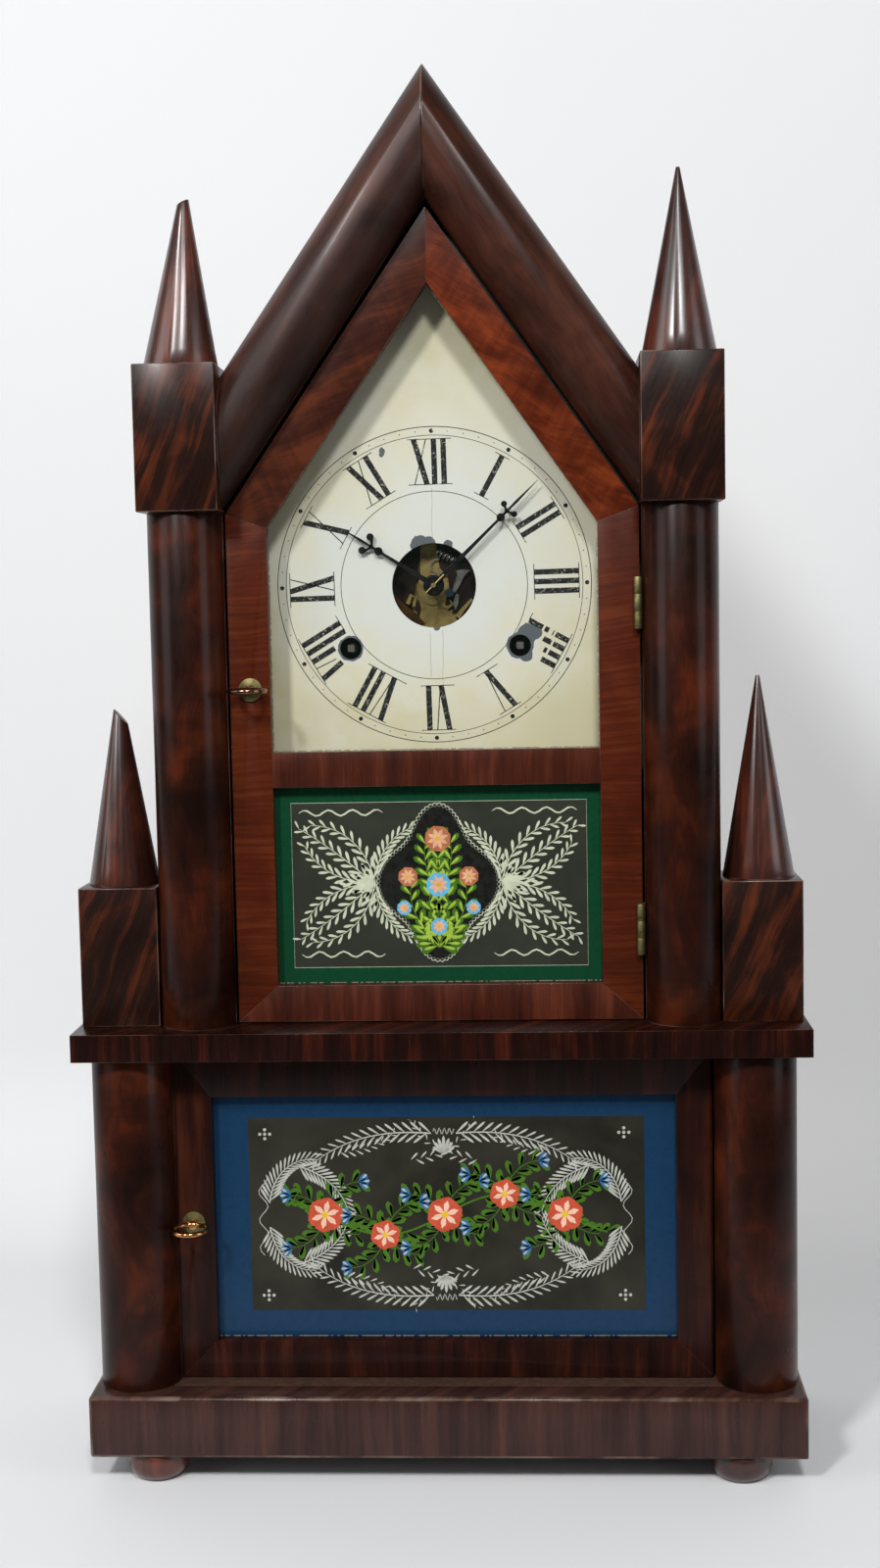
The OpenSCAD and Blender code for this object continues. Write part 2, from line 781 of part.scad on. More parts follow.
// Drum, ratchet and squared arbor that a key turns; side is 1 on the right and -1 on the left
module drum(side) {
    p = [side * winding_x, -winding_drop];
    square_half = 1.6;
    ratchet_y = [plate_in + 19, plate_in + 20.2];
    // The square ends behind the dial, so that a key finds its whole hole free
    square_y = [dial_back + 1.3, plate_y - 1];
    at_hands() {
        bar(p, [square_y[1], back_plate_out], winding_r);
        block([p[0] - square_half, p[0] + square_half], square_y,
            [p[1] - square_half, p[1] + square_half]);
        bar(p, [drum_y, drum_y + 0.8], 10.5);
        bar(p, [drum_y + 0.8, drum_y + 5.8], drum_core_r);
        bar(p, [drum_y + 5.8, drum_y + 6.6], 10.5);
        upright(ratchet_y)
            translate(p)
                polygon([for (i = [0:11]) each [[9 * cos(30 * i), 9 * sin(30 * i)],
                    [7 * cos(30 * i + 4 * side), 7 * sin(30 * i + 4 * side)]]]);
    }
}

module time_drum() {
    color("#9c8340") drum(1);
}

module strike_drum() {
    color("#9c8340") drum(-1);
}

great_y = [plate_in + 16.4, plate_in + 18.4];
great_mesh_y = [plate_in + 15.4, plate_in + 19.4];

// Great wheel that turns on its winding arbor, with the click that the ratchet holds
module great_wheel(p, turn) {
    difference() {
        union() {
            wheel(great_n, great_m, turn, p, great_y);
            at_hands() {
                bar(toward(p, 180, 11.5), [great_y[1], great_y[1] + 1.8], 1.6);
                bar(p, great_y, 5.5);
            }
        }
        at_hands() bar(p, [great_y[0] - 1, great_y[1] + 1], winding_r + running);
    }
}

time_second_turn = mesh_turn(great_n, 0, pinion_n, heading(time_great_at, time_second_at));
strike_second_turn = mesh_turn(great_n, 0, pinion_n, heading(strike_great_at, strike_second_at));
centre_turn = mesh_turn(second_n, 0, pinion_n, heading(time_second_at, centre_at));
third_turn = mesh_turn(second_n, 0, pinion_n, heading(centre_at, third_at));
escape_turn = mesh_turn(third_n, 0, pinion_n, heading(third_at, escape_at));
pin_turn = mesh_turn(second_n, 0, pinion_n, heading(strike_second_at, pin_at));
fly_turn = mesh_turn(third_n, 0, fly_n, heading(pin_at, fly_at));
minute_wheel_turn = mesh_turn(cannon_n, 0, minute_n, heading(centre_at, minute_at));
hour_wheel_turn = mesh_turn(cannon_n, 0, hour_n, heading(minute_at, centre_at));

module time_great_wheel() {
    color("#b3923f") great_wheel(time_great_at, 0);
}

module strike_great_wheel() {
    color("#b3923f") great_wheel(strike_great_at, 0);
}

module time_second_wheel() {
    color("#b3923f") {
        arbor(time_second_at);
        gear(pinion_n, great_m, 0.7, time_second_turn, time_second_at, great_mesh_y);
        wheel(second_n, second_m, 0, time_second_at, [plate_in + 12.4, plate_in + 13.8]);
    }
}

module strike_second_wheel() {
    color("#b3923f") {
        arbor(strike_second_at);
        gear(pinion_n, great_m, 0.7, strike_second_turn, strike_second_at, great_mesh_y);
        wheel(second_n, second_m, 0, strike_second_at, [plate_in + 9.4, plate_in + 10.6]);
    }
}

// Centre arbor, which reaches through the dial and carries the hands
module centre_wheel() {
    color("#b3923f")
        difference() {
            union() {
                at_hands() {
                    bar(centre_at, [stile_back - 7, back_plate_y - 0.6], 1.1);
                    bar(centre_at, [back_plate_y - 1, back_plate_out], tip_r);
                }
                gear(pinion_n, second_m, 0.7, centre_turn, centre_at, [plate_in + 11.4, plate_in + 15]);
                wheel(second_n, second_m, 0, centre_at, [plate_in + 7.4, plate_in + 8.8]);
            }
            at_hands()
                translate([0, stile_back - 5.8, 0])
                    rotate([0, minute_dir, 0])
                        translate([0, 0, -5]) cylinder(h = 12, r1 = 0.3, r2 = 0.48);
        }
}

module third_wheel() {
    color("#b3923f") {
        arbor(third_at);
        gear(pinion_n, second_m, 0.7, third_turn, third_at, [plate_in + 6, plate_in + 10.2]);
        wheel(third_n, third_m, 0, third_at, [plate_in + 17.4, plate_in + 18.6]);
    }
}

// Escape wheel of thirty pointed teeth, behind the back plate
module escape_wheel() {
    r = 14.5;
    teeth = 30;
    step = 360 / teeth;
    color("#b3923f") {
        arbor(escape_at);
        gear(pinion_n, third_m, 0.7, escape_turn, escape_at, [plate_in + 16.4, plate_in + 19.8]);
        at_hands() {
            bar(escape_at, [back_plate_out - 1, escape_y + 1.6], tip_r);
            upright([escape_y, escape_y + 1.2])
                translate(escape_at)
                    difference() {
                        polygon([for (i = [0:teeth - 1]) each [
                            [r * cos(step * i), r * sin(step * i)],
                            [(r - 3) * cos(step * i + 3), (r - 3) * sin(step * i + 3)],
                            [(r - 3) * cos(step * i + 8), (r - 3) * sin(step * i + 8)]]]);
                        for (a = [45:90:315])
                            translate(toward([0, 0], a, 6.4)) circle(r = 3);
                    }
        }
    }
}

// Wheel of the strike train whose pins lift the hammer
module pin_wheel() {
    y = [plate_in + 17.4, plate_in + 18.6];
    color("#b3923f") {
        arbor(pin_at);
        gear(pinion_n, second_m, 0.7, pin_turn, pin_at, [plate_in + 8, plate_in + 12.2]);
        wheel(third_n, third_m, 0, pin_at, y);
        at_hands()
            for (a = [0:45:315])
                bar(toward(pin_at, a, 14), [y[1], y[1] + 1.8], 0.6);
    }
}

// Fly that brakes the strike
module fly() {
    color("#b3923f") {
        arbor(fly_at);
        gear(fly_n, third_m, 0.7, fly_turn, fly_at, [plate_in + 16.8, plate_in + 19.6]);
        at_hands()
            block([fly_at[0] - 11.5, fly_at[0] + 11.5], [plate_in + 2.4, plate_in + 13.4],
                [fly_at[1] - 0.35, fly_at[1] + 0.35]);
    }
}

// Slim hand that points up, with a disc, a trefoil and a fine tip
module hand_outline(l, disc_at) {
    leaf_r = l * 0.028;
    neck = disc_at + 4.6;
    circle(r = 3.6);
    polygon([[-1.1, 0], [1.1, 0], [0.7, disc_at], [-0.7, disc_at]]);
    translate([0, disc_at]) circle(r = 2.4);
    translate([-leaf_r * 1.15, neck]) circle(r = leaf_r);
    translate([leaf_r * 1.15, neck]) circle(r = leaf_r);
    translate([0, neck + leaf_r * 1.4]) circle(r = leaf_r);
    polygon([[-0.7, disc_at], [0.7, disc_at], [0.5, neck + 6], [0.12, l], [-0.12, l], [-0.5, neck + 6]]);
}

hour_hand_y = [stile_back - 2.6, stile_back - 1.9];
minute_hand_y = [stile_back - 4.6, stile_back - 3.9];
cannon_r = 1.9;
pipe_r = 2.8;

// Minute hand on its pipe, with the pinion that drives the hour wheel
module minute_hand() {
    color("#1d1f24")
        difference() {
            union() {
                at_hands() {
                    upright(minute_hand_y) rotate(-minute_dir) hand_outline(minute_l, 43);
                    bar(centre_at, [minute_hand_y[0], plate_in + 4], cannon_r);
                }
                gear(cannon_n, motion_m, 0.75, 0, centre_at, [plate_in + 2.4, plate_in + 3.8]);
            }
            at_hands() bar(centre_at, [minute_hand_y[0] - 1, plate_in + 5], 1.1 + running);
        }
}

module hour_hand() {
    color("#1d1f24")
        difference() {
            at_hands() upright(hour_hand_y) rotate(-hour_dir) hand_outline(hour_l, 29);
            at_hands() bar(centre_at, [hour_hand_y[0] - 1, hour_hand_y[1] + 1], pipe_r);
        }
}

module hour_wheel() {
    color("#b3923f")
        difference() {
            union() {
                at_hands() bar(centre_at, [hour_hand_y[0], plate_in + 1.8], pipe_r);
                wheel(hour_n, hour_m, hour_wheel_turn, centre_at, [plate_in + 0.8, plate_in + 1.8]);
            }
            at_hands() bar(centre_at, [hour_hand_y[0] - 1, plate_in + 3], cannon_r + running);
        }
}

module minute_wheel() {
    color("#b3923f")
        difference() {
            union() {
                wheel(minute_n, motion_m, minute_wheel_turn, minute_at, [plate_in + 2.6, plate_in + 3.6]);
                gear(cannon_n, hour_m, 0.75, 0, minute_at, [plate_in + 0.6, plate_in + 2.6]);
            }
            at_hands() bar(minute_at, [plate_in, plate_in + 5], arbor_r + running);
        }
}

module hand_pin() {
    color("#c9a24a")
        at_hands()
            translate([0, stile_back - 5.8, 0])
                rotate([0, minute_dir, 0])
                    translate([0, 0, -5]) cylinder(h = 12, r1 = 0.3, r2 = 0.48);
}

// Anchor with its two pallets and the crutch that pushes the pendulum
module verge() {
    tip = [12.8, -11.2];
    crutch_z = -32;
    color("#8a8d90")
        difference() {
            at_hands() translate([0, 0, verge_at[1]]) {
                bar([0, 0], [verge_y, verge_y + 2.8], 3);
                upright([verge_y, verge_y + 1.2]) {
                    polygon([[-tip[0] - 1.6, -3], [-2, 2.4], [2, 2.4], [tip[0] + 1.6, -3],
                        [tip[0] + 1.4, tip[1]], [tip[0] - 0.4, tip[1]], [tip[0] - 2, -4.6],
                        [0, -1.4], [-tip[0] + 2, -4.6],
                        [-tip[0] + 0.4, tip[1]], [-tip[0] - 1.4, tip[1]]]);
                }
                block([-0.7, 0.7], [verge_y + 1.8, verge_y + 2.8], [crutch_z - 1.5, 0]);
                block([-2.3, 2.3], [verge_y + 1.8, pendulum_y - 1.4], [crutch_z - 1.5, crutch_z + 1.5]);
                for (x = [-2.3, 1.15])
                    block([x, x + 1.15], [pendulum_y - 1.4, pendulum_y + 2],
                        [crutch_z - 1.5, crutch_z + 1.5]);
            }
            at_hands() bar(verge_at, [verge_y - 1, verge_y + 4], 1.5 + running);
        }
}

// Spring strip, wire rod and rating nut
module pendulum_rod() {
    bob_z = pendulum_top - pendulum_l;
    nut_z = bob_z - bob_r - 3.5;
    color("#9a9a92") {
        block([-0.1, 0.1], [pendulum_y - 1.2, pendulum_y + 1.2], [pendulum_top - 14, pendulum_top + 3]);
        translate([0, pendulum_y, nut_z - 2]) cylinder(h = pendulum_top - 13 - nut_z + 2, r = 1);
        translate([0, pendulum_y, nut_z]) cylinder(h = 3, r = 3);
    }
}

module pendulum_bob() {
    bob_z = pendulum_top - pendulum_l;
    color("#b99a48")
        difference() {
            translate([0, pendulum_y, bob_z])
                rotate([90, 0, 0])
                    rotate_extrude()
                        polygon([[0, -3.2], [bob_r * 0.7, -2.6], [bob_r, -0.6], [bob_r, 0.6],
                            [bob_r * 0.7, 2.6], [0, 3.2]]);
            translate([0, pendulum_y, bob_z - bob_r - 1]) cylinder(h = 2 * bob_r + 2, r = 1);
        }
}

// Spiral wire gong on its iron stand
module gong() {
    turns = 3.25;
    pitch = 8.4;
    wire = 1.7;
    steps = 26;
    last = turns * steps;
    function at_step(i, off) = let(a = 180 - 360 * i / steps, r = gong_r - pitch * i / steps - off)
        [r * cos(a), r * sin(a)];
    color("#4a4f57") {
        upright([gong_y, gong_y + 2])
            translate([0, gong_z])
                polygon(concat([for (i = [0:last]) at_step(i, 0)], [for (i = [last:-1:0]) at_step(i, wire)]));
        bar(toward([0, gong_z], 90, gong_r - pitch * turns - wire / 2), [gong_y + 2, backboard_front - 4], 2);
        block([-9, 9], [backboard_front - 4, backboard_front], [gong_z - 8, gong_z + 24]);
    }
}

// Hammer that hangs beside the gong
module hammer() {
    head_z = gong_z;
    pivot_z = hand_z + hammer_at[1];
    x = hammer_at[0];
    color("#8a8d90")
        difference() {
            union() {
                bar([x, pivot_z], [hammer_y - 3, hammer_y + 3], 3.4);
                translate([x, hammer_y, head_z]) cylinder(h = pivot_z - head_z, r = 1.2);
                translate([x - 5, hammer_y, head_z]) rotate([0, 90, 0]) cylinder(h = 11, r = 4.5);
            }
            bar([x, pivot_z], [hammer_y - 4, hammer_y + 4], 1.5 + running);
        }
}

// Clamp under the leaf spring's middle, and the posts with the draw levers' pins
module spring_irons() {
    post = [lever_x - 6, lever_x + 7];
    stack = leaf_count * leaf_step;
    color("#54565a") {
        block([-14, 14], [spring_y[0] - 3, spring_y[1] + 3], [base_top, spring_z]);
        block([-14, 14], [spring_y[0] - 3, spring_y[0] - 0.2], [spring_z, spring_z + stack + 1]);
        block([-14, 14], [spring_y[1] + 0.2, spring_y[1] + 3], [spring_z, spring_z + stack + 1]);
        block([-14, 14], [spring_y[0] - 3, spring_y[1] + 3], [spring_z + stack + 1, spring_z + stack + 4]);
        pair() {
            block(post, [lever_y[1] + 1, lever_y[1] + 5], [base_top, lever_z + 7]);
            bar([lever_x, lever_z], [lever_y[0] - 1, lever_y[1] + 1], 2);
        }
    }
}

// Curved leaves, each shorter than the one below it, and the links to the draw levers
module leaf_spring() {
    end_x = spring_half_l - 1.5;
    end_z = spring_z + spring_r - sqrt(spring_r * spring_r - end_x * end_x) - 1.3;
    color("#3f454e") {
        for (i = [0:leaf_count - 1]) {
            half_l = spring_half_l * (1 - 0.17 * i);
            low = spring_z + leaf_step * i;
            half_angle = asin(half_l / spring_r);
            translate([0, spring_y[1], low + spring_r])
                rotate([90, 0, 0])
                    rotate([0, 0, 270 - half_angle])
                        rotate_extrude(angle = 2 * half_angle)
                            translate([spring_r - leaf_step + leaf_gap, 0])
                                square([leaf_step - leaf_gap, spring_y[1] - spring_y[0]]);
        }
        pair() {
            bar([end_x, end_z], [link_y[0], spring_y[1]], 1.3);
            difference() {
                upright(link_y)
                    polygon([[end_x - 2.6, end_z - 2], [end_x + 2.6, end_z - 2],
                        [link_x + 3, link_z + 2.8], [link_x - 3, link_z + 2.8]]);
                bar([link_x, link_z], [link_y[0] - 1, link_y[1] + 1], 1.6);
            }
        }
    }
}

module draw_cords() {
    top = hand_z - winding_drop;
    low = lever_tip_z + 4.2;
    color("#8a7a5a")
        for (x = [-cord_x, cord_x])
            translate([x, cord_y, low]) cylinder(h = top - low, r = cord_r);
}

// Lever that a draw cord lifts against the spring
module draw_lever() {
    arm = [lever_l * cos(lever_rest), lever_l * sin(lever_rest)];
    color("#5b5d60")
        difference() {
            union() {
                bar([lever_x, lever_z], lever_y, 5);
                bar([lever_x - arm[0], lever_z - arm[1]], lever_y, 4);
                upright(lever_y)
                    translate([lever_x, lever_z])
                        rotate(180 + lever_rest) translate([0, -3]) square([lever_l, 6]);
                bar([link_x, link_z], [lever_y[1], link_y[1] + 1], 1.2);
            }
            bar([lever_x, lever_z], [lever_y[0] - 1, lever_y[1] + 1], 2 + running);
        }
}

module time_lever() {
    draw_lever();
}

module strike_lever() {
    mirror([1, 0, 0]) draw_lever();
}

bun_feet();
base_boards();
base_floor();
lower_backboard();
face_stiles();
side_boards();
lower_columns();
waist_shelf();
spire_blocks();
spires();
upper_backboard();
upper_columns();
gable_face_boards();
gable_mouldings();
roof_boards();
dial();
latch_keepers();
hinge_case_leaves();
front_plate();
back_plate();
plate_pillars();
movement_battens();
gong();
spring_irons();
leaf_spring();
draw_cords();
upper_door_stiles();
upper_door_gable_rails();
upper_door_cross_rails();
upper_glass();
upper_tablet();
hinge_door_leaves();
upper_latch();
lower_door_stiles();
lower_door_rails();
lower_tablet();
lower_door_pins();
lower_latch();
time_drum();
strike_drum();
time_great_wheel();
strike_great_wheel();
time_second_wheel();
strike_second_wheel();
centre_wheel();
third_wheel();
escape_wheel();
pin_wheel();
fly();
minute_hand();
hour_hand();
hour_wheel();
minute_wheel();
hand_pin();
verge();
pendulum_rod();
pendulum_bob();
hammer();
time_lever();
strike_lever();
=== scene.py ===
"""Looks of a double-steeple shelf clock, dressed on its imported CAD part.

The camera stands where the photograph's camera stood. Lengths in this file are in millimetres,
unless a name or a comment says otherwise, and are turned into metres where a mesh is made. X runs
to the right, Y to the back and Z up, from the table under the middle of the clock.
"""

from __future__ import annotations

import json
import logging
import math
import random
from dataclasses import dataclass, field
from enum import Enum
from typing import Protocol, Sequence, Union

import bmesh
import bpy
from mathutils import Matrix, Vector

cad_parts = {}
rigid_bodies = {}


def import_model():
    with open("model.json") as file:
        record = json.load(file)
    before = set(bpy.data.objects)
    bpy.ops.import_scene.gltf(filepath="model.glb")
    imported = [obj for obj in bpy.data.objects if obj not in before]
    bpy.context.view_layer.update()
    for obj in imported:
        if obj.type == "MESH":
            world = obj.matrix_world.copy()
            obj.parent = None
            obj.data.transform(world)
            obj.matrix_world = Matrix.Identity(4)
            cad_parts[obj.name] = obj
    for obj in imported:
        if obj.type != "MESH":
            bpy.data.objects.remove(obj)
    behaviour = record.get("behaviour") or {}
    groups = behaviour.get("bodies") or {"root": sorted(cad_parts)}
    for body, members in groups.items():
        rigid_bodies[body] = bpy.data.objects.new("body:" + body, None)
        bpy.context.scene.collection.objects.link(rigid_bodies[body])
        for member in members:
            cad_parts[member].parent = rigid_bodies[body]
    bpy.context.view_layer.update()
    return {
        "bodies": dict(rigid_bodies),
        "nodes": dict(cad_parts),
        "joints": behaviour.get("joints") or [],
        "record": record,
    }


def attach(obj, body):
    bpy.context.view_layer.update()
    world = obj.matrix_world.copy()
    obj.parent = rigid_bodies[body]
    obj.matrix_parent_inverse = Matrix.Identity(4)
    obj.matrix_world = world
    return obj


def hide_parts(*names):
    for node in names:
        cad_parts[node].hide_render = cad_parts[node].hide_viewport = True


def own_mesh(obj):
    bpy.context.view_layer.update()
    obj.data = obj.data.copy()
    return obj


LOG = logging.getLogger("clock")
MM = 0.001
Colour = tuple[float, float, float]
Place = tuple[float, float, float]
Point = tuple[float, float]
Number = Union[float, "Val"]


class Finish(Protocol):
    """Anything that can build a material."""

    def make(self) -> bpy.types.Material:
        """Builds the material."""


def add_object(name: str, data: object) -> bpy.types.Object:
    """Object of the given data, linked into the scene."""
    item = bpy.data.objects.new(name, data)
    bpy.context.scene.collection.objects.link(item)
    return item


def baked(piece: bpy.types.Object) -> bpy.types.Mesh:
    """The piece's mesh with its modifiers applied."""
    bpy.context.view_layer.update()
    graph = bpy.context.evaluated_depsgraph_get()
    return bpy.data.meshes.new_from_object(piece.evaluated_get(graph))


def shade_smooth(mesh: bpy.types.Mesh) -> None:
    """Shades every face smooth."""
    mesh.polygons.foreach_set("use_smooth", [True] * len(mesh.polygons))


def circle(x: float, z: float, radius: float, steps: int) -> list[Point]:
    """Points round a circle about (x, z), anticlockwise from its right."""
    return [(x + radius * math.cos(a), z + radius * math.sin(a))
            for a in (2 * math.pi * i / steps for i in range(steps))]


def lifted(path: Sequence[Point], z: float) -> list[Point]:
    """The path, raised by z."""
    return [(x, z + dz) for x, dz in path]


class Val:
    """A number on a node's socket, which ordinary operators turn into Math nodes."""

    def __init__(self, tree: bpy.types.NodeTree, socket: bpy.types.NodeSocket) -> None:
        """Keeps the tree and the socket."""
        self.tree = tree
        self.socket = socket

    def math(self, operation: str, *others: Number, clamp: bool = False) -> "Val":
        """Adds a Math node.

        Args:
            operation: The node's operation.
            *others: The second and third inputs.
            clamp: Whether the result stays between 0 and 1.

        Returns:
            The node's result.
        """
        node = self.tree.nodes.new("ShaderNodeMath")
        node.operation = operation
        node.use_clamp = clamp
        for slot, item in enumerate((self, *others)):
            if isinstance(item, Val):
                self.tree.links.new(item.socket, node.inputs[slot])
            else:
                node.inputs[slot].default_value = float(item)
        return Val(self.tree, node.outputs[0])

    def __add__(self, other: Number) -> "Val":
        """Sum."""
        return self.math("ADD", other)

    __radd__ = __add__

    def __mul__(self, other: Number) -> "Val":
        """Product."""
        return self.math("MULTIPLY", other)

    __rmul__ = __mul__

    def __sub__(self, other: Number) -> "Val":
        """Difference."""
        return self.math("SUBTRACT", other)

    def __truediv__(self, other: Number) -> "Val":
        """Quotient."""
        return self.math("DIVIDE", other)

    def __neg__(self) -> "Val":
        """Negative."""
        return self * -1.0

    def sine(self) -> "Val":
        """Sine of an angle in radians."""
        return self.math("SINE")

    def size(self) -> "Val":
        """Absolute value."""
        return self.math("ABSOLUTE")

    def step(self, low: float, high: float) -> "Val":
        """Smooth step from 0 at low to 1 at high."""
        flat = ((self - low) / (high - low)).math("ADD", 0.0, clamp=True)
        return flat * flat * (flat * -2.0 + 3.0)


class Tree:
    """Nodes and links of a tree that is built in code."""

    def __init__(self, tree: bpy.types.NodeTree) -> None:
        """Keeps the tree."""
        self.tree = tree

    def value(self, socket: bpy.types.NodeSocket) -> Val:
        """An output socket as a value."""
        return Val(self.tree, socket)

    def put(self, item: object, socket: bpy.types.NodeSocket) -> None:
        """Links or sets a socket.

        Args:
            item: A Val, a node, an output socket, a colour, a number or a data block.
            socket: The input that takes it.
        """
        if isinstance(item, Val):
            item = item.socket
        elif isinstance(item, bpy.types.Node):
            item = item.outputs[0]
        if isinstance(item, bpy.types.NodeSocket):
            self.tree.links.new(item, socket)
        elif isinstance(item, tuple) and len(item) < len(socket.default_value):
            socket.default_value = (*item, 1.0)
        else:
            socket.default_value = item

    def node(self, kind: str, links: dict[object, object] | None = None,
             stops: Sequence[tuple[float, Colour]] = (), **settings: object) -> bpy.types.Node:
        """Adds a node.

        Args:
            kind: Its type.
            links: What its inputs take, by their names or numbers.
            stops: Places and colours, where it is a ramp.
            **settings: Its properties.

        Returns:
            The node.
        """
        node = self.tree.nodes.new(kind)
        for key, item in settings.items():
            setattr(node, key, item)
        while stops and len(node.color_ramp.elements) < len(stops):
            node.color_ramp.elements.new(0.5)
        for element, (place, colour) in zip(node.color_ramp.elements if stops else (), stops):
            element.position = place
            element.color = (*colour, 1.0)
        for key, item in (links or {}).items():
            self.put(item, node.inputs[key])
        return node


class Paint(Tree):
    """Node graph of one material."""

    def __init__(self, name: str) -> None:
        """Starts an empty graph with a surface shader."""
        self.material = bpy.data.materials.new(name)
        self.material.use_nodes = True
        super().__init__(self.material.node_tree)
        self.tree.nodes.clear()
        self.shader = self.node("ShaderNodeBsdfPrincipled")
        self.node("ShaderNodeOutputMaterial", {"Surface": self.shader})

    def axes(self) -> tuple[Val, Val, Val]:
        """Where a point of the surface is.

        Returns:
            The object's own X, Y and Z in metres.
        """
        place = self.node("ShaderNodeTexCoord")
        split = self.node("ShaderNodeSeparateXYZ", {0: place.outputs["Object"]})
        return tuple(self.value(socket) for socket in split.outputs)

    def vector(self, x: Number, y: Number, z: Number) -> bpy.types.NodeSocket:
        """Vector of three numbers."""
        return self.node("ShaderNodeCombineXYZ", {0: x, 1: y, 2: z}).outputs[0]

    def noise(self, place: bpy.types.NodeSocket, scale: float, detail: float = 2.0,
              rough: float = 0.5, twist: float = 0.0) -> Val:
        """Noise between 0 and 1.

        Args:
            place: The vector that it is read at.
            scale: Its scale.
            detail: Number of finer layers.
            rough: Strength of the finer layers.
            twist: Distortion.

        Returns:
            The noise.
        """
        node = self.node("ShaderNodeTexNoise", {"Vector": place, "Scale": scale, "Detail": detail,
                                                "Roughness": rough, "Distortion": twist})
        return self.value(node.outputs[0])

    def ramp(self, value: Val, stops: Sequence[tuple[float, Colour]]) -> bpy.types.NodeSocket:
        """Colour that follows a value between 0 and 1, by places and colours."""
        return self.node("ShaderNodeValToRGB", {0: value}, stops).outputs[0]

    def mix(self, share: Number, first: object, second: object) -> bpy.types.NodeSocket:
        """Blend of two colours or their sockets, by the share of the second."""
        node = self.node("ShaderNodeMix", {0: share, 6: first, 7: second}, data_type="RGBA")
        return node.outputs[2]

    def bump(self, height: Val, deep: float, strength: float) -> None:
        """Small relief.

        Args:
            height: Its height between 0 and 1.
            deep: Its depth in millimetres.
            strength: Its strength.
        """
        relief = self.node("ShaderNodeBump", {"Strength": strength, "Distance": deep * MM,
                                              "Height": height})
        self.put(relief, self.shader.inputs["Normal"])

    def surface(self, colour: object, rough: Number, **fixed: float) -> bpy.types.Material:
        """Ends the graph.

        Args:
            colour: Base colour.
            rough: Roughness.
            **fixed: Other sockets of the shader, with _ for a space.

        Returns:
            The material.
        """
        self.put(colour, self.shader.inputs["Base Color"])
        self.put(rough, self.shader.inputs["Roughness"])
        for key, item in fixed.items():
            self.put(item, self.shader.inputs[key.replace("_", " ")])
        return self.material


@dataclass(frozen=True)
class Veneer:
    """Polished mahogany with its figure."""

    name: str
    dark: Colour
    middle: Colour
    light: Colour
    grain: float = 90.0  # direction in degrees, from X towards Z
    band: float = 7.0  # width of a stripe
    run: float = 90.0  # length of a stripe
    flame: float = 0.4  # how far the stripes wander
    cloud: float = 0.5  # strength of the clouds
    curl: float = 0.0  # strength of the cross figure
    rough: float = 0.3
    coat: float = 0.3  # weight of the shellac
    gloss: float = 0.22  # specular level under the shellac
    satin: float = 0.12  # roughness of the shellac
    worn: float = 0.0  # how much of it is rubbed grey, which on the rounded edges is partly a painted highlight
    seed: float = 0.0

    def make(self) -> bpy.types.Material:
        """Builds the veneer's material.

        Returns:
            Wood with stripes along the grain, clouds, pores, curl and a satin coat of shellac.
        """
        paint = Paint(self.name)
        x, y, z = paint.axes()
        turn = math.radians(self.grain)
        along = x * math.cos(turn) + z * math.sin(turn) + self.seed
        across = z * math.cos(turn) - x * math.sin(turn) + y * 0.7
        # A slow noise makes the stripes wander
        slow = paint.noise(paint.vector(along, across, y), 14.0, 2.0)
        across = across + (slow - 0.5) * (self.flame * 0.03)
        stripes = paint.noise(
            paint.vector(along / (self.run * MM), across / (self.band * MM), self.seed),
            1.0, 4.0, 0.62, 0.35)
        clouds = paint.noise(paint.vector(along, across, y + self.seed), 26.0, 3.0, 0.55, 0.6)
        curl = paint.noise(paint.vector(along / 0.004, across / 0.028, y / 0.02),
                           1.0, 2.0, 0.5, 0.8)
        pores = paint.noise(paint.vector(along * 90.0, across * 1900.0, y * 400.0), 1.0, 2.0, 0.6)
        # The figure's four layers add up to a tone between dark and light
        tone = ((stripes - 0.5) * 1.5 + (clouds - 0.5) * (self.cloud * 1.6)
                + (curl - 0.5) * (self.curl * 1.3))
        tone = (tone + 0.5 + (pores - 0.5) * 0.28).math("ADD", self.worn * 0.35, clamp=True)
        colour = paint.ramp(tone, [(0.12, self.dark), (0.5, self.middle), (0.88, self.light)])
        # Rubbed grey patches, partly a painted highlight where the rounded edges wear this finish
        if self.worn:
            grey = tuple(0.5 * c + 0.5 * w for c, w in zip(self.light, (0.30, 0.25, 0.22)))
            colour = paint.mix(clouds.step(0.45, 0.62) * self.worn, colour, grey)
        smear = paint.noise(paint.vector(x, y, z), 60.0, 3.0, 0.6)
        rough = (smear - 0.5) * 0.16 + (pores - 0.5) * 0.1 + self.rough
        paint.bump(pores * 0.5 + smear * 0.6 + stripes * 0.5, 0.05, 0.5)
        return paint.surface(colour, rough, Coat_Weight=self.coat, Coat_Roughness=self.satin,
                             Specular_IOR_Level=self.gloss)


@dataclass(frozen=True)
class Metal:
    """Metal with tarnish and fine scratches."""

    name: str
    bright: Colour
    dull: Colour
    rough: float = 0.3
    metallic: float = 1.0
    scratch: float = 0.1  # how much the scratches change the roughness

    def make(self) -> bpy.types.Material:
        """Builds the metal's material.

        Returns:
            Bright metal with dull spots and lines across it.
        """
        paint = Paint(self.name)
        x, y, z = paint.axes()
        spots = paint.noise(paint.vector(x, y, z), 160.0, 4.0, 0.65, 0.4)
        lines = paint.noise(paint.vector(x * 2600.0, y * 500.0, z * 180.0), 1.0, 2.0)
        colour = paint.mix(spots.step(0.35, 0.68), self.bright, self.dull)
        rough = (spots - 0.5) * 0.35 + (lines - 0.5) * self.scratch + self.rough
        paint.bump(lines * 0.4 + spots, 0.02, 0.4)
        return paint.surface(colour, rough, Metallic=self.metallic)


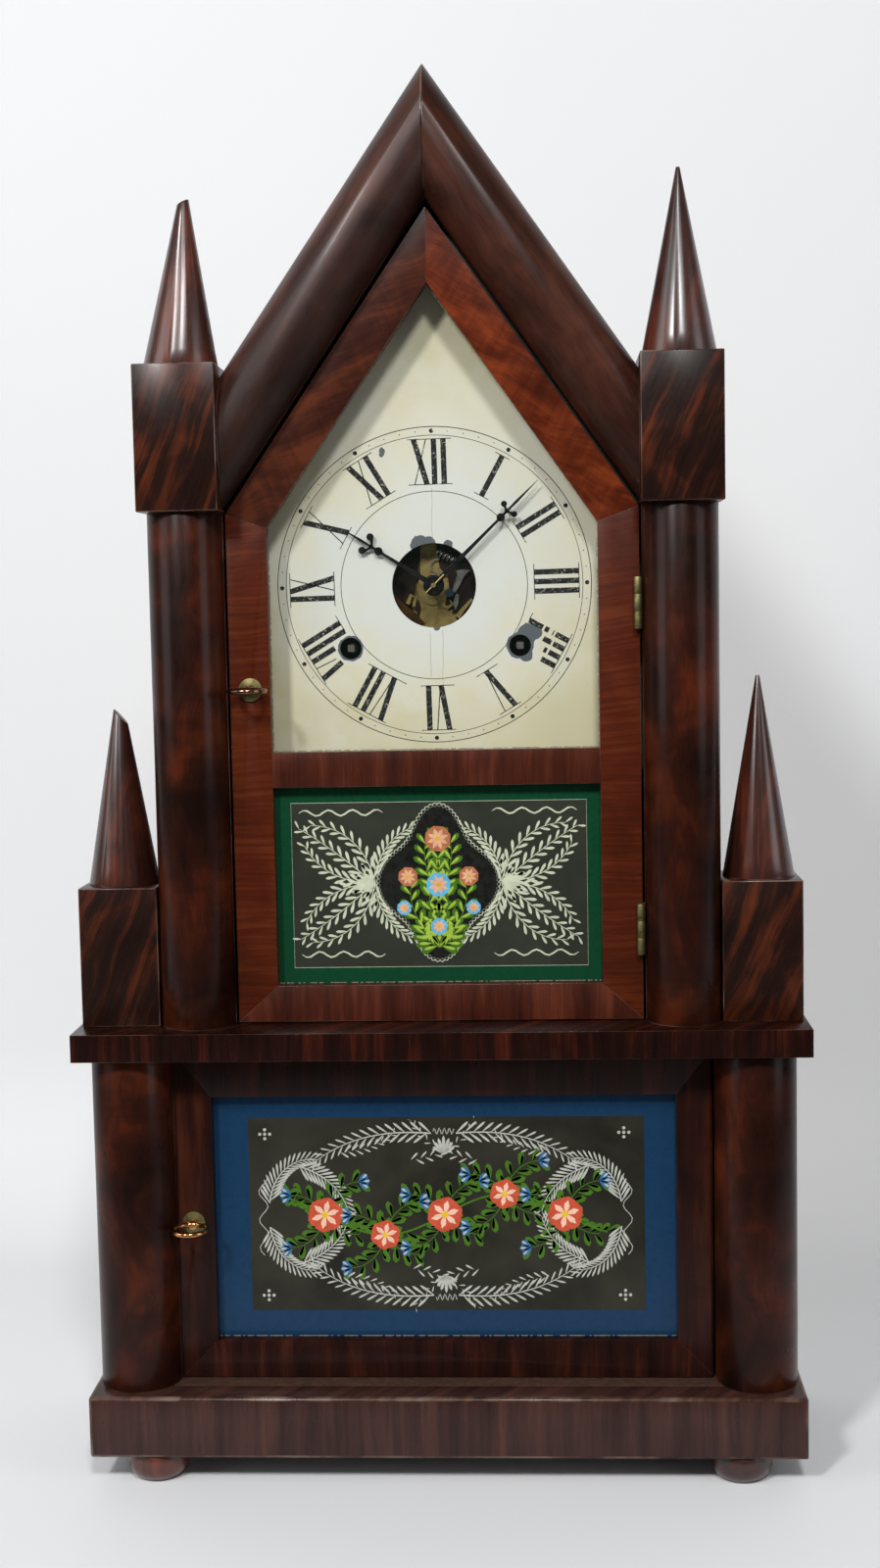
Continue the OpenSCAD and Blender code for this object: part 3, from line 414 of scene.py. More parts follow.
@dataclass(frozen=True)
class Enamel:
    """Paint or ink in one colour, with slight brush variation."""

    name: str
    colour: Colour
    second: Colour
    scale: float = 220.0  # scale of the brush marks
    rough: float = 0.3
    coat: float = 0.0
    gap: float = 0.0  # how much of it has flaked off
    under: Colour = (0.5, 0.5, 0.4)  # what the flakes lay bare

    def make(self) -> bpy.types.Material:
        """Builds the paint's material.

        Returns:
            Paint in two tones, flaked where it has a gap.
        """
        paint = Paint(self.name)
        x, y, z = paint.axes()
        place = paint.vector(x, y, z)
        brush = paint.noise(place, self.scale, 3.0, 0.6, 0.3)
        colour = paint.mix(brush.step(0.3, 0.7), self.colour, self.second)
        if self.gap:
            flakes = paint.noise(place, 900.0, 3.0, 0.7, 0.6)
            colour = paint.mix(flakes.step(0.66 - self.gap * 0.1, 0.69), colour, self.under)
        return paint.surface(colour, (brush - 0.5) * 0.1 + self.rough, Coat_Weight=self.coat,
                             Coat_Roughness=0.06, Specular_IOR_Level=0.12)


@dataclass(frozen=True)
class Chip:
    """Bare patch of zinc, placed from the middle of the hole that it belongs to."""

    across: float
    up: float
    radius: float
    halo: float = 0.0  # radius of the pale ring round it


@dataclass(frozen=True)
class Scratch:
    """Upright scratch, placed from the middle of the dial."""

    across: float
    low: float
    high: float


LEFT_HOLE_CHIPS = (Chip(0.0, 0.0, 6.3, 9.5),)
RIGHT_HOLE_CHIPS = (Chip(0.0, 0.0, 6.6, 11.0), Chip(3.8, 5.6, 5.0), Chip(7.2, 6.0, 3.4),
                    Chip(2.4, -4.2, 3.6))
MIDDLE_CHIPS = (Chip(-6.5, 19.2, 4.6), Chip(-2.0, 20.0, 3.2), Chip(7.0, 18.9, 2.4),
                Chip(1.0, -20.0, 1.6), Chip(-23.5, 63.8, 1.5), Chip(-23.8, 62.0, 1.3))
DIAL_SCRATCHES = (Scratch(-0.4, 20.0, 46.0), Scratch(3.6, -60.0, -21.0),
                  Scratch(-2.2, -44.0, -22.0))


@dataclass(frozen=True)
class DialPaint:
    """Aged ivory paint on a zinc sheet, with bare patches at its holes."""

    centre: Point
    holes: tuple[Point, Point]
    white: Colour = (0.71, 0.73, 0.665)
    ivory: Colour = (0.72, 0.70, 0.535)
    yellow: Colour = (0.66, 0.62, 0.40)
    olive: Colour = (0.48, 0.45, 0.27)
    streak: Colour = (0.66, 0.68, 0.64)
    halo: Colour = (0.7, 0.72, 0.69)
    scratch: Colour = (0.2, 0.19, 0.15)
    speck: Colour = (0.2, 0.19, 0.12)
    zinc: Colour = (0.10, 0.115, 0.125)
    # Painted shade on the edge that the closed door's gable rails cover
    door_shade: Colour = (0.018, 0.014, 0.010)
    covered: float = 590.0  # height at which the painted shade's edge would meet over the middle
    rise: float = 1.4335  # slope of the painted shade's edge

    def make(self) -> bpy.types.Material:
        """Builds the dial's material.

        Returns:
            Paint that is whiter in the middle, yellow to the edges and chipped round the holes.
        """
        paint = Paint("aged dial paint")
        x, y, z = paint.axes()
        place = paint.vector(x, y, z)
        cx, cz = self.centre
        far = self._distance(x, z, cx, cz)
        broad = paint.noise(place, 16.0, 3.0, 0.55)
        fine = paint.noise(place, 240.0, 3.0, 0.6)
        edge = paint.noise(place, 420.0, 4.0, 0.65)
        blotch = paint.noise(place, 45.0, 3.0, 0.6, 0.5)
        # Yellower away from the middle, downwards and to the right
        tone = (far * 8.5 + (broad - 0.5) * 1.3 + (blotch - 0.5) * 0.8 + x * 1.6
                - (z - cz * MM) * 1.8 + (fine - 0.5) * 0.15)
        colour = paint.ramp(tone.math("ADD", 0.0, clamp=True),
                            [(0.18, self.white), (0.62, self.ivory), (1.0, self.yellow)])
        # Olive along both sides, and pale upright streaks
        side = (x.size() * 13.5 - 0.62) + (broad - 0.5) * 0.5
        colour = paint.mix(side.step(0.32, 0.62) * 0.55, colour, self.olive)
        streaks = paint.noise(paint.vector(x * 900.0, y, z * 26.0), 1.0, 3.0)
        colour = paint.mix(streaks.step(0.6, 0.78) * 0.25, colour, self.streak)
        for (left, foot), chips in zip((*self.holes, self.centre),
                                       (LEFT_HOLE_CHIPS, RIGHT_HOLE_CHIPS, MIDDLE_CHIPS)):
            for chip in chips:
                near = (self._distance(x, z, left + chip.across, foot + chip.up)
                        + (edge - 0.5) * 0.0022)
                if chip.halo:
                    pale = (-near / (chip.halo * MM) + 1.0).step(0.0, 0.4)
                    colour = paint.mix(pale * 0.6, colour, self.halo)
                bare = (-near / (chip.radius * MM) + 1.0).step(0.0, 0.05)
                colour = paint.mix(bare, colour, self.zinc)
        for line in DIAL_SCRATCHES:
            wander = (x - (cx + line.across) * MM + (blotch - 0.5) * 0.003).size()
            span = ((z - (cz + line.low) * MM).step(-0.001, 0.001)
                    * (-z + (cz + line.high) * MM).step(-0.001, 0.001))
            share = (-wander / 0.00022 + 1.0).step(0.0, 0.8) * span * 0.55
            colour = paint.mix(share, colour, self.scratch)
        specks = paint.noise(place, 1100.0, 2.0, 0.5)
        colour = paint.mix(specks.step(0.74, 0.78) * 0.6, colour, self.speck)
        # The edge that the closed door's gable rails cover is darkened as painted shade
        gable = x.size() * self.rise + z - self.covered * MM + (edge - 0.5) * 0.002
        colour = paint.mix(gable.step(0.0, 0.0015), colour, self.door_shade)
        paint.bump(fine * 0.6 + streaks * 0.5, 0.03, 0.4)
        return paint.surface(colour, (fine - 0.5) * 0.1 + 0.42)

    @staticmethod
    def _distance(x: Val, z: Val, px: float, pz: float) -> Val:
        """Distance in metres from the point (px, pz), given in millimetres."""
        dx, dz = x - px * MM, z - pz * MM
        return (dx * dx + dz * dz).math("SQRT")


@dataclass(frozen=True)
class Plain:
    """Softwood, cord, glue and glass."""

    name: str
    colour: Colour
    rough: float = 0.6
    alpha: float = 1.0
    grained: bool = False

    def make(self) -> bpy.types.Material:
        """Builds the material.

        Returns:
            Clear glass, grained wood or a fibrous surface.
        """
        paint = Paint(self.name)
        if self.alpha < 1.0:
            return paint.surface(self.colour, self.rough, Alpha=self.alpha, IOR=1.5)
        x, y, z = paint.axes()
        if self.grained:
            rings = paint.noise(paint.vector(x * 320.0, y * 320.0, z * 9.0), 1.0, 3.0, 0.6, 0.4)
            pale = tuple(min(1.0, c * 1.5) for c in self.colour)
            dark = tuple(c * 0.6 for c in self.colour)
            paint.bump(rings, 0.15, 0.5)
            return paint.surface(paint.ramp(rings, [(0.25, dark), (0.75, pale)]), self.rough)
        fibre = paint.noise(paint.vector(x, y, z), 900.0, 3.0)
        dark = tuple(c * 0.75 for c in self.colour)
        return paint.surface(paint.mix(fibre, dark, self.colour), self.rough)


class GeoTree(Tree):
    """A Geometry Nodes tree, with named inputs."""

    def __init__(self, name: str) -> None:
        """Starts a tree that takes and gives geometry."""
        super().__init__(bpy.data.node_groups.new(name, "GeometryNodeTree"))
        for way in ("INPUT", "OUTPUT"):
            self.tree.interface.new_socket("Geometry", in_out=way,
                                           socket_type="NodeSocketGeometry")
        self.names: dict[str, str] = {}
        self.start = self.node("NodeGroupInput")
        self.end = self.node("NodeGroupOutput")

    @property
    def given(self) -> bpy.types.NodeSocket:
        """The geometry that the tree starts from."""
        return self.start.outputs[0]

    def size(self, name: str, whole: bool = False) -> Val:
        """Adds a named input.

        Args:
            name: The input's name.
            whole: Whether it is a whole number.

        Returns:
            The input as a value.
        """
        kind = "NodeSocketInt" if whole else "NodeSocketFloat"
        item = self.tree.interface.new_socket(name, in_out="INPUT", socket_type=kind)
        self.names[name] = item.identifier
        return self.value(next(s for s in self.start.outputs if s.identifier == item.identifier))

    def close(self, geometry: bpy.types.Node, material: bpy.types.Material) -> None:
        """Realises what the tree made and gives it its material.

        Args:
            geometry: The last node.
            material: The finish.
        """
        real = self.node("GeometryNodeRealizeInstances", {0: geometry})
        dressed = self.node("GeometryNodeSetMaterial", {0: real, "Material": material})
        self.put(dressed, self.end.inputs[0])

    def grow(self, name: str, sizes: dict[str, float],
             base: bpy.types.Mesh | None = None) -> bpy.types.Object:
        """Runs the tree on a mesh and keeps the result as a plain mesh.

        Args:
            name: The piece's name.
            sizes: Values of the named inputs.
            base: The mesh that the tree starts from.

        Returns:
            The new object.
        """
        carrier = add_object(name + "_base", base or bpy.data.meshes.new(name + "_base"))
        modifier = carrier.modifiers.new("tree", "NODES")
        modifier.node_group = self.tree
        for key, item in sizes.items():
            modifier[self.names[key]] = item
        mesh = baked(carrier)
        bpy.data.objects.remove(carrier)
        mesh.name = name
        return add_object(name, mesh)


class Bench:
    """What every sub-assembly uses to make, dress and place a piece."""

    def __init__(self, frame: dict) -> None:
        """Keeps the frame and the materials that are made once."""
        self.frame = frame
        self.finishes: dict[Finish, bpy.types.Material] = {}
        self.slots = {row["node"]: row["material_slot"] for row in frame["record"]["subparts"]}
        bodies = frame["record"]["behaviour"]["bodies"]
        self.owner = {node: body for body, nodes in bodies.items() for node in nodes}

    def finish(self, kind: Finish) -> bpy.types.Material:
        """The material of a finish, made at its first use.

        Args:
            kind: The finish.

        Returns:
            Its material.
        """
        if kind not in self.finishes:
            self.finishes[kind] = kind.make()
        return self.finishes[kind]

    def dress(self, kind: Finish, *nodes: str) -> None:
        """Gives CAD nodes a finish.

        Args:
            kind: The finish.
            *nodes: The nodes.
        """
        for name in nodes:
            for slot in self.frame["nodes"][name].material_slots:
                slot.material = self.finish(kind)
            LOG.info("dressed %s", name)

    def settle(self, piece: bpy.types.Object, body: str, slot: str,
               *nodes: str) -> bpy.types.Object:
        """Puts a piece on its body.

        Args:
            piece: The piece.
            body: The body that it rides on.
            slot: The record's material slot; not used.
            *nodes: CAD nodes that it stands for.

        Returns:
            The piece.
        """
        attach(piece, body)
        if nodes:
            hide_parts(*nodes)
        LOG.info("made %s: %d faces", piece.name, len(piece.data.polygons))
        return piece

    def mesh_piece(self, name: str, bm: bmesh.types.BMesh, *finishes: Finish) -> bpy.types.Object:
        """Object of a finished bmesh.

        Args:
            name: Its name.
            bm: Its mesh, which is freed.
            *finishes: Its finishes, in the order of its material indices.

        Returns:
            The object.
        """
        mesh = bpy.data.meshes.new(name)
        bm.to_mesh(mesh)
        bm.free()
        for kind in finishes:
            mesh.materials.append(self.finish(kind))
        return add_object(name, mesh)

    @staticmethod
    def round_edges(piece: bpy.types.Object, edge: float, least: float = 30.0,
                    material: int = -1) -> None:
        """Rounds a piece's sharp edges.

        Args:
            piece: The piece.
            edge: Width of the rounded edge.
            least: Least angle of an edge that is rounded, in degrees.
            material: Index of the rounded edges' finish, or -1 for that of the faces.
        """
        bevel = piece.modifiers.new("edge", "BEVEL")
        bevel.width = edge * MM
        bevel.segments = 2
        bevel.limit_method = "ANGLE"
        bevel.angle_limit = math.radians(least)
        bevel.material = material
        mesh = baked(piece)
        piece.modifiers.clear()
        piece.data = mesh

    def soften(self, node: str, edge: float, main: Finish, worn: Finish, side: int = 0,
               name: str = "") -> bpy.types.Object:
        """Copy of a CAD node whose sharp edges are rounded and rubbed, their lighter finish partly
        a painted highlight.

        Args:
            node: The CAD node.
            edge: Width of the rounded edge.
            main: Finish of the faces.
            worn: Finish of the rounded edges, on the woods rubbed and partly a painted highlight.
            side: 1 or -1 keeps only the half on that side of the middle, 0 keeps all.
            name: Name of the piece.

        Returns:
            The piece.
        """
        weld_m, flat_deg, round_deg, sharp_deg = 2e-6, 0.8, 28, 32
        bm = bmesh.new()
        bm.from_mesh(self.frame["nodes"][node].data)
        bmesh.ops.remove_doubles(bm, verts=bm.verts, dist=weld_m)
        if side:
            cut = bmesh.ops.bisect_plane(
                bm, geom=bm.verts[:] + bm.edges[:] + bm.faces[:], dist=1e-7,
                plane_co=(0, 0, 0), plane_no=(-side, 0, 0), clear_outer=True)
            rim = [e for e in cut["geom_cut"]
                   if isinstance(e, bmesh.types.BMEdge) and e.is_boundary]
            if rim:
                bmesh.ops.edgeloop_fill(bm, edges=rim)
            bmesh.ops.remove_doubles(bm, verts=bm.verts, dist=weld_m)
        bmesh.ops.dissolve_limit(bm, angle_limit=math.radians(flat_deg), verts=bm.verts,
                                 edges=bm.edges)
        piece = self.mesh_piece(name or node + "_polished", bm, main, worn)
        for polygon in piece.data.polygons:
            polygon.material_index = 0
        self.round_edges(piece, edge, round_deg, 1)
        shade_smooth(piece.data)
        piece.data.set_sharp_from_angle(angle=math.radians(sharp_deg))
        return piece

    def polish(self, node: str, edge: float, main: Finish, worn: Finish,
               left: Finish | None = None) -> None:
        """Replaces a CAD node by its softened copy, whole or in two halves.

        Args:
            node: The CAD node.
            edge: Width of the rounded edge.
            main: Finish of its faces.
            worn: Finish of its edges, on the woods rubbed and partly a painted highlight.
            left: Finish of the left half's faces, where the node is made in two halves.
        """
        body, slot = self.owner[node], self.slots[node]
        if left is None:
            self.settle(self.soften(node, edge, main, worn), body, slot, node)
            return
        for side, kind, word in ((1, main, "right"), (-1, left, "left")):
            piece = self.soften(node, edge, kind, worn, side, f"{node}_{word}")
            self.settle(piece, body, slot, node)


@dataclass
class Stencil:
    """Flat painted shapes, seen from the front, in one colour."""

    bench: Bench
    name: str
    front: float
    finish: Finish
    thick: float = 0.02
    bm: bmesh.types.BMesh = field(default_factory=bmesh.new)

    def shape(self, outline: Sequence[Point], lift: float = 0.0) -> None:
        """Adds a prism.

        Args:
            outline: Its corners as (x, z), in order.
            lift: How far it stands in front of the first layer.
        """
        back = self.front - lift
        near, far = ([self.bm.verts.new((x * MM, y * MM, z * MM)) for x, z in outline]
                     for y in (back - self.thick, back))
        self.bm.faces.new(near)
        self.bm.faces.new(far[::-1])
        for i in range(len(near)):
            j = (i + 1) % len(near)
            self.bm.faces.new((near[i], far[i], far[j], near[j]))

    def disc(self, x: float, z: float, radius: float, steps: int = 16) -> None:
        """Adds a round spot."""
        self.shape(circle(x, z, radius, steps))

    def stroke(self, path: Sequence[Point], widths: Sequence[float],
               closed: bool = False) -> None:
        """Adds a brush stroke.

        Args:
            path: Its middle line.
            widths: Its width at each point, or one width, or its first and last width.
            closed: Whether its end meets its start.
        """
        count = len(path)
        wide = list(widths) if len(widths) == count else [
            widths[0] + (widths[-1] - widths[0]) * i / max(1, count - 1) for i in range(count)]
        near, far = self.front - self.thick, self.front
        rails: list[tuple] = []
        for i, (x, z) in enumerate(path):
            before = path[(i - 1) % count] if closed or i else path[0]
            after = path[(i + 1) % count] if closed or i < count - 1 else path[-1]
            dx, dz = after[0] - before[0], after[1] - before[1]
            length = math.hypot(dx, dz) or 1.0
            nx, nz = -dz / length * wide[i] / 2, dx / length * wide[i] / 2
            rails.append(tuple(self.bm.verts.new((px * MM, py * MM, pz * MM)) for px, pz, py in (
                (x + nx, z + nz, near), (x - nx, z - nz, near),
                (x - nx, z - nz, far), (x + nx, z + nz, far))))
        for i in range(count if closed else count - 1):
            a, b = rails[i], rails[(i + 1) % count]
            for k in range(4):
                m = (k + 1) % 4
                self.bm.faces.new((a[k], b[k], b[m], a[m]))
        if not closed:
            self.bm.faces.new(rails[0])
            self.bm.faces.new(rails[-1][::-1])

    def petal(self, x: float, z: float, angle: float, length: float, width: float,
              steps: int = 7, step: int = 0) -> None:
        """Adds a drop whose point is at (x, z).

        Args:
            x: Place of its point.
            z: Height of its point.
            angle: Its direction in degrees, anticlockwise from the right.
            length: Its length.
            width: Its greatest width.
            steps: Points along each side.
            step: Hair-thin steps that it stands in front of the first layer, where drops
                overlap.
        """
        fullness, slack, hair = 1.3, 0.99, 0.004
        turn = math.radians(angle)
        sides = []
        for sign in (1, -1):
            side = []
            for i in range(1, steps):
                t = i / steps
                half = sign * width * fullness * t * math.sqrt(max(0.0, 1 - t)) * slack
                side.append((x + length * t * math.cos(turn) - half * math.sin(turn),
                             z + length * t * math.sin(turn) + half * math.cos(turn)))
            sides.append(side)
        tip = (x + length * math.cos(turn), z + length * math.sin(turn))
        self.shape([(x, z), *sides[1], tip, *sides[0][::-1]], step * hair)

    def ring(self, x: float, z: float, radius: float, width: float, steps: int = 120) -> None:
        """Adds a thin circle."""
        self.stroke(circle(x, z, radius, steps), [width], closed=True)

    def piece(self) -> bpy.types.Object:
        """Ends the stencil as an object, which isn't on a body yet."""
        bmesh.ops.recalc_face_normals(self.bm, faces=self.bm.faces)
        return self.bench.mesh_piece(self.name, self.bm, self.finish)

    def done(self, body: str, slot: str) -> None:
        """Ends the stencil as a piece of a body."""
        self.bench.settle(self.piece(), body, slot)


class Palette(Enum):
    """Named finishes."""

    def make(self) -> bpy.types.Material:
        """Builds the finish's material."""
        return self.value.make()


class Wood(Palette):
    """The clock's woods."""

    COLUMN = Veneer("column veneer", (0.008, 0.0024, 0.0014), (0.0235, 0.0052, 0.0024),
                    (0.068, 0.0125, 0.0036), band=26.0, run=60.0, flame=1.2, cloud=0.9, curl=0.15,
                    rough=0.3, coat=0.04, gloss=0.13)
    BLOCK = Veneer("flame veneer", (0.0065, 0.0027, 0.0018), (0.016, 0.0053, 0.0033),
                   (0.095, 0.0195, 0.006), grain=68.0, band=7.0, run=120.0, flame=0.7, cloud=0.7,
                   rough=0.28, coat=0.05)
    SHELF = Veneer("shelf veneer", (0.004, 0.0014, 0.0009), (0.0135, 0.0034, 0.002),
                   (0.06, 0.0105, 0.0045), band=6.0, run=160.0, flame=0.1, cloud=0.35,
                   rough=0.28, coat=0.03, gloss=0.13)
    BASE = Veneer("base veneer", (0.015, 0.0058, 0.0047), (0.036, 0.0145, 0.0115),
                  (0.07, 0.026, 0.019), band=8.0, run=180.0, flame=0.1, cloud=0.3, rough=0.3,
                  coat=0.06, seed=3.1)
    # The two mouldings are one wood: the left's paler colours are partly painted light, the right's
    # darker ones partly painted shade
    MOULDING_RIGHT = Veneer("right moulding veneer", (0.010, 0.0036, 0.0024),
                            (0.029, 0.0098, 0.0062), (0.075, 0.024, 0.013), grain=-54.7,
                            band=16.0, run=120.0, flame=0.6, cloud=0.6, rough=0.34, coat=0.02,
                            gloss=0.12, seed=1.3)
    MOULDING_LEFT = Veneer("left moulding veneer", (0.012, 0.0046, 0.0032),
                           (0.034, 0.0125, 0.0085), (0.085, 0.028, 0.016), grain=54.7, band=16.0,
                           run=120.0, flame=0.6, cloud=0.6, rough=0.42, coat=0.03, gloss=0.27,
                           seed=2.7)
    STILE = Veneer("door stile veneer", (0.043, 0.0076, 0.0025), (0.069, 0.0115, 0.0036),
                   (0.105, 0.021, 0.006), grain=3.0, band=2.2, run=60.0, flame=0.3, cloud=0.9,
                   rough=0.3, coat=0.03, gloss=0.13)
    # The two gable rails are one wood: the right's brighter colours are partly its figure and
    # partly a painted sheen
    GABLE_RIGHT = Veneer("right gable rail veneer", (0.026, 0.0052, 0.0022),
                         (0.082, 0.0135, 0.0042), (0.19, 0.034, 0.009), grain=-30.0, band=12.0,
                         run=46.0, flame=0.9, cloud=0.7, curl=0.3, rough=0.3, coat=0.03,
                         gloss=0.13, seed=0.4)
    GABLE_LEFT = Veneer("left gable rail veneer", (0.018, 0.0052, 0.0034),
                        (0.044, 0.0115, 0.0062), (0.1, 0.024, 0.0095), grain=20.0, band=12.0,
                        run=46.0, flame=0.9, cloud=0.7, curl=0.3, rough=0.3, coat=0.06, seed=0.9)
    CROSS = Veneer("cross rail veneer", (0.019, 0.0042, 0.002), (0.054, 0.0115, 0.0055),
                   (0.12, 0.028, 0.0125), band=9.0, run=120.0, flame=0.15, cloud=0.4, rough=0.3,
                   coat=0.06, seed=1.9)
    LOW_DOOR = Veneer("lower door veneer", (0.0055, 0.002, 0.0014), (0.0185, 0.0046, 0.0027),
                      (0.055, 0.0125, 0.0055), band=9.0, run=130.0, flame=0.2, cloud=0.5,
                      rough=0.3, coat=0.03, gloss=0.12, seed=2.2)
    SIDE = Veneer("side veneer", (0.014, 0.006, 0.0045), (0.04, 0.014, 0.009),
                  (0.09, 0.028, 0.015), band=14.0, run=190.0, flame=0.5, cloud=0.5, rough=0.3,
                  coat=0.1, seed=4.0)
    TURNED = Veneer("turned mahogany", (0.013, 0.0046, 0.0034), (0.036, 0.009, 0.0054),
                    (0.11, 0.023, 0.010), band=9.0, run=80.0, flame=0.5, cloud=0.7, rough=0.32,
                    coat=0.55, gloss=0.4, satin=0.24, seed=5.0)
    # Rounded edges: rubbed wood, partly a painted highlight along each edge
    EDGE = Veneer("rubbed edge", (0.012, 0.0052, 0.0036), (0.036, 0.014, 0.009),
                  (0.095, 0.045, 0.028), band=9.0, run=60.0, cloud=0.9, rough=0.3, coat=0.12,
                  worn=0.5)
    SOFT = Plain("old softwood", (0.30, 0.185, 0.095), 0.65, grained=True)
    # Softwood darkened as painted shade, for the base floor that shows through a dark gap
    STAINED = Plain("stained softwood", (0.045, 0.02, 0.012), 0.6, grained=True)


class Bright(Palette):
    """The clock's metals."""

    BRASS = Metal("plate brass", (0.56, 0.43, 0.16), (0.24, 0.175, 0.06), 0.4)
    TARNISHED = Metal("tarnished brass", (0.26, 0.225, 0.10), (0.09, 0.075, 0.032), 0.5)
    COPPERY = Metal("coppery brass wire", (0.52, 0.25, 0.10), (0.16, 0.075, 0.04), 0.2)
    PATINATED = Metal("brown brass wire", (0.34, 0.17, 0.09), (0.09, 0.045, 0.035), 0.2)
    STEEL = Metal("old steel", (0.55, 0.55, 0.52), (0.2, 0.19, 0.17), 0.34)
    BLUED = Metal("blued steel", (0.014, 0.015, 0.019), (0.034, 0.029, 0.028), 0.36, 0.9)
    BLUE_SCREW = Metal("blue screw", (0.16, 0.26, 0.36), (0.07, 0.1, 0.14), 0.25)
    IRON = Metal("dull iron", (0.09, 0.09, 0.095), (0.05, 0.035, 0.028), 0.55, 0.7)


class Other(Palette):
    """Glass, cord, glue, shadow and the dial's ink."""

    GLASS = Plain("clear old glass", (0.03, 0.045, 0.035), 0.04, 0.05)
    CORD = Plain("natural cord", (0.36, 0.29, 0.18), 0.85)
    GLUE = Plain("old glue line", (0.24, 0.20, 0.15), 0.7)
    DEPTH = Enamel("shadowed depth", (0.003, 0.002, 0.0015), (0.022, 0.008, 0.004), 120.0, 0.6)
    INK = Enamel("dial ink", (0.010, 0.010, 0.012), (0.026, 0.026, 0.026), 500.0, 0.5, gap=1.0)
    HAIRLINE = Enamel("dial hairline ink", (0.03, 0.03, 0.026), (0.11, 0.105, 0.08), 300.0, 0.5)


def glass_paint(name: str, colour: Colour, scale: float = 1.25) -> Enamel:
    """One of the tablets' paints, with a second tone for the brush's variation."""
    return Enamel(name, colour, tuple(min(1.0, c * scale) for c in colour), 260.0, 0.28, coat=0.12)


class Tint(Palette):
    """The tablets' paints."""

    BOTTLE = glass_paint("bottle green", (0.0042, 0.046, 0.0185), 1.12)
    CREAM = glass_paint("cream paint", (0.46, 0.49, 0.36))
    BLACK = glass_paint("black ground", (0.008, 0.008, 0.007), 2.0)
    LEAF = glass_paint("leaf green", (0.05, 0.13, 0.012))
    LIGHT = glass_paint("light green", (0.28, 0.40, 0.05))
    ORANGE = glass_paint("burnt orange", (0.36, 0.13, 0.06))
    PALE = glass_paint("pale orange", (0.60, 0.34, 0.2))
    SKY = glass_paint("sky blue", (0.10, 0.36, 0.55))
    OCHRE = glass_paint("ochre", (0.6, 0.3, 0.04))
    GREY = Enamel("grey field", (0.026, 0.029, 0.021), (0.035, 0.038, 0.028), 30.0, 0.3, coat=0.1)
    DEEP = glass_paint("deep blue", (0.0066, 0.033, 0.080), 1.1)
    WHITE = glass_paint("white paint", (0.40, 0.41, 0.36))
    CORAL = glass_paint("coral", (0.46, 0.07, 0.035))
    BLUSH = glass_paint("blush", (0.72, 0.45, 0.33))
    BUD = glass_paint("bud blue", (0.035, 0.13, 0.28))
    YELLOW = glass_paint("yellow", (0.68, 0.42, 0.03))
    DARK = Enamel("dark field", (0.0135, 0.013, 0.0095), (0.032, 0.031, 0.0215), 22.0, 0.28,
                  coat=0.1)


@dataclass(frozen=True)
class Lamp:
    """Area light, in metres and watts."""

    name: str
    place: Place
    target: Place
    size: tuple[float, float]
    watts: float


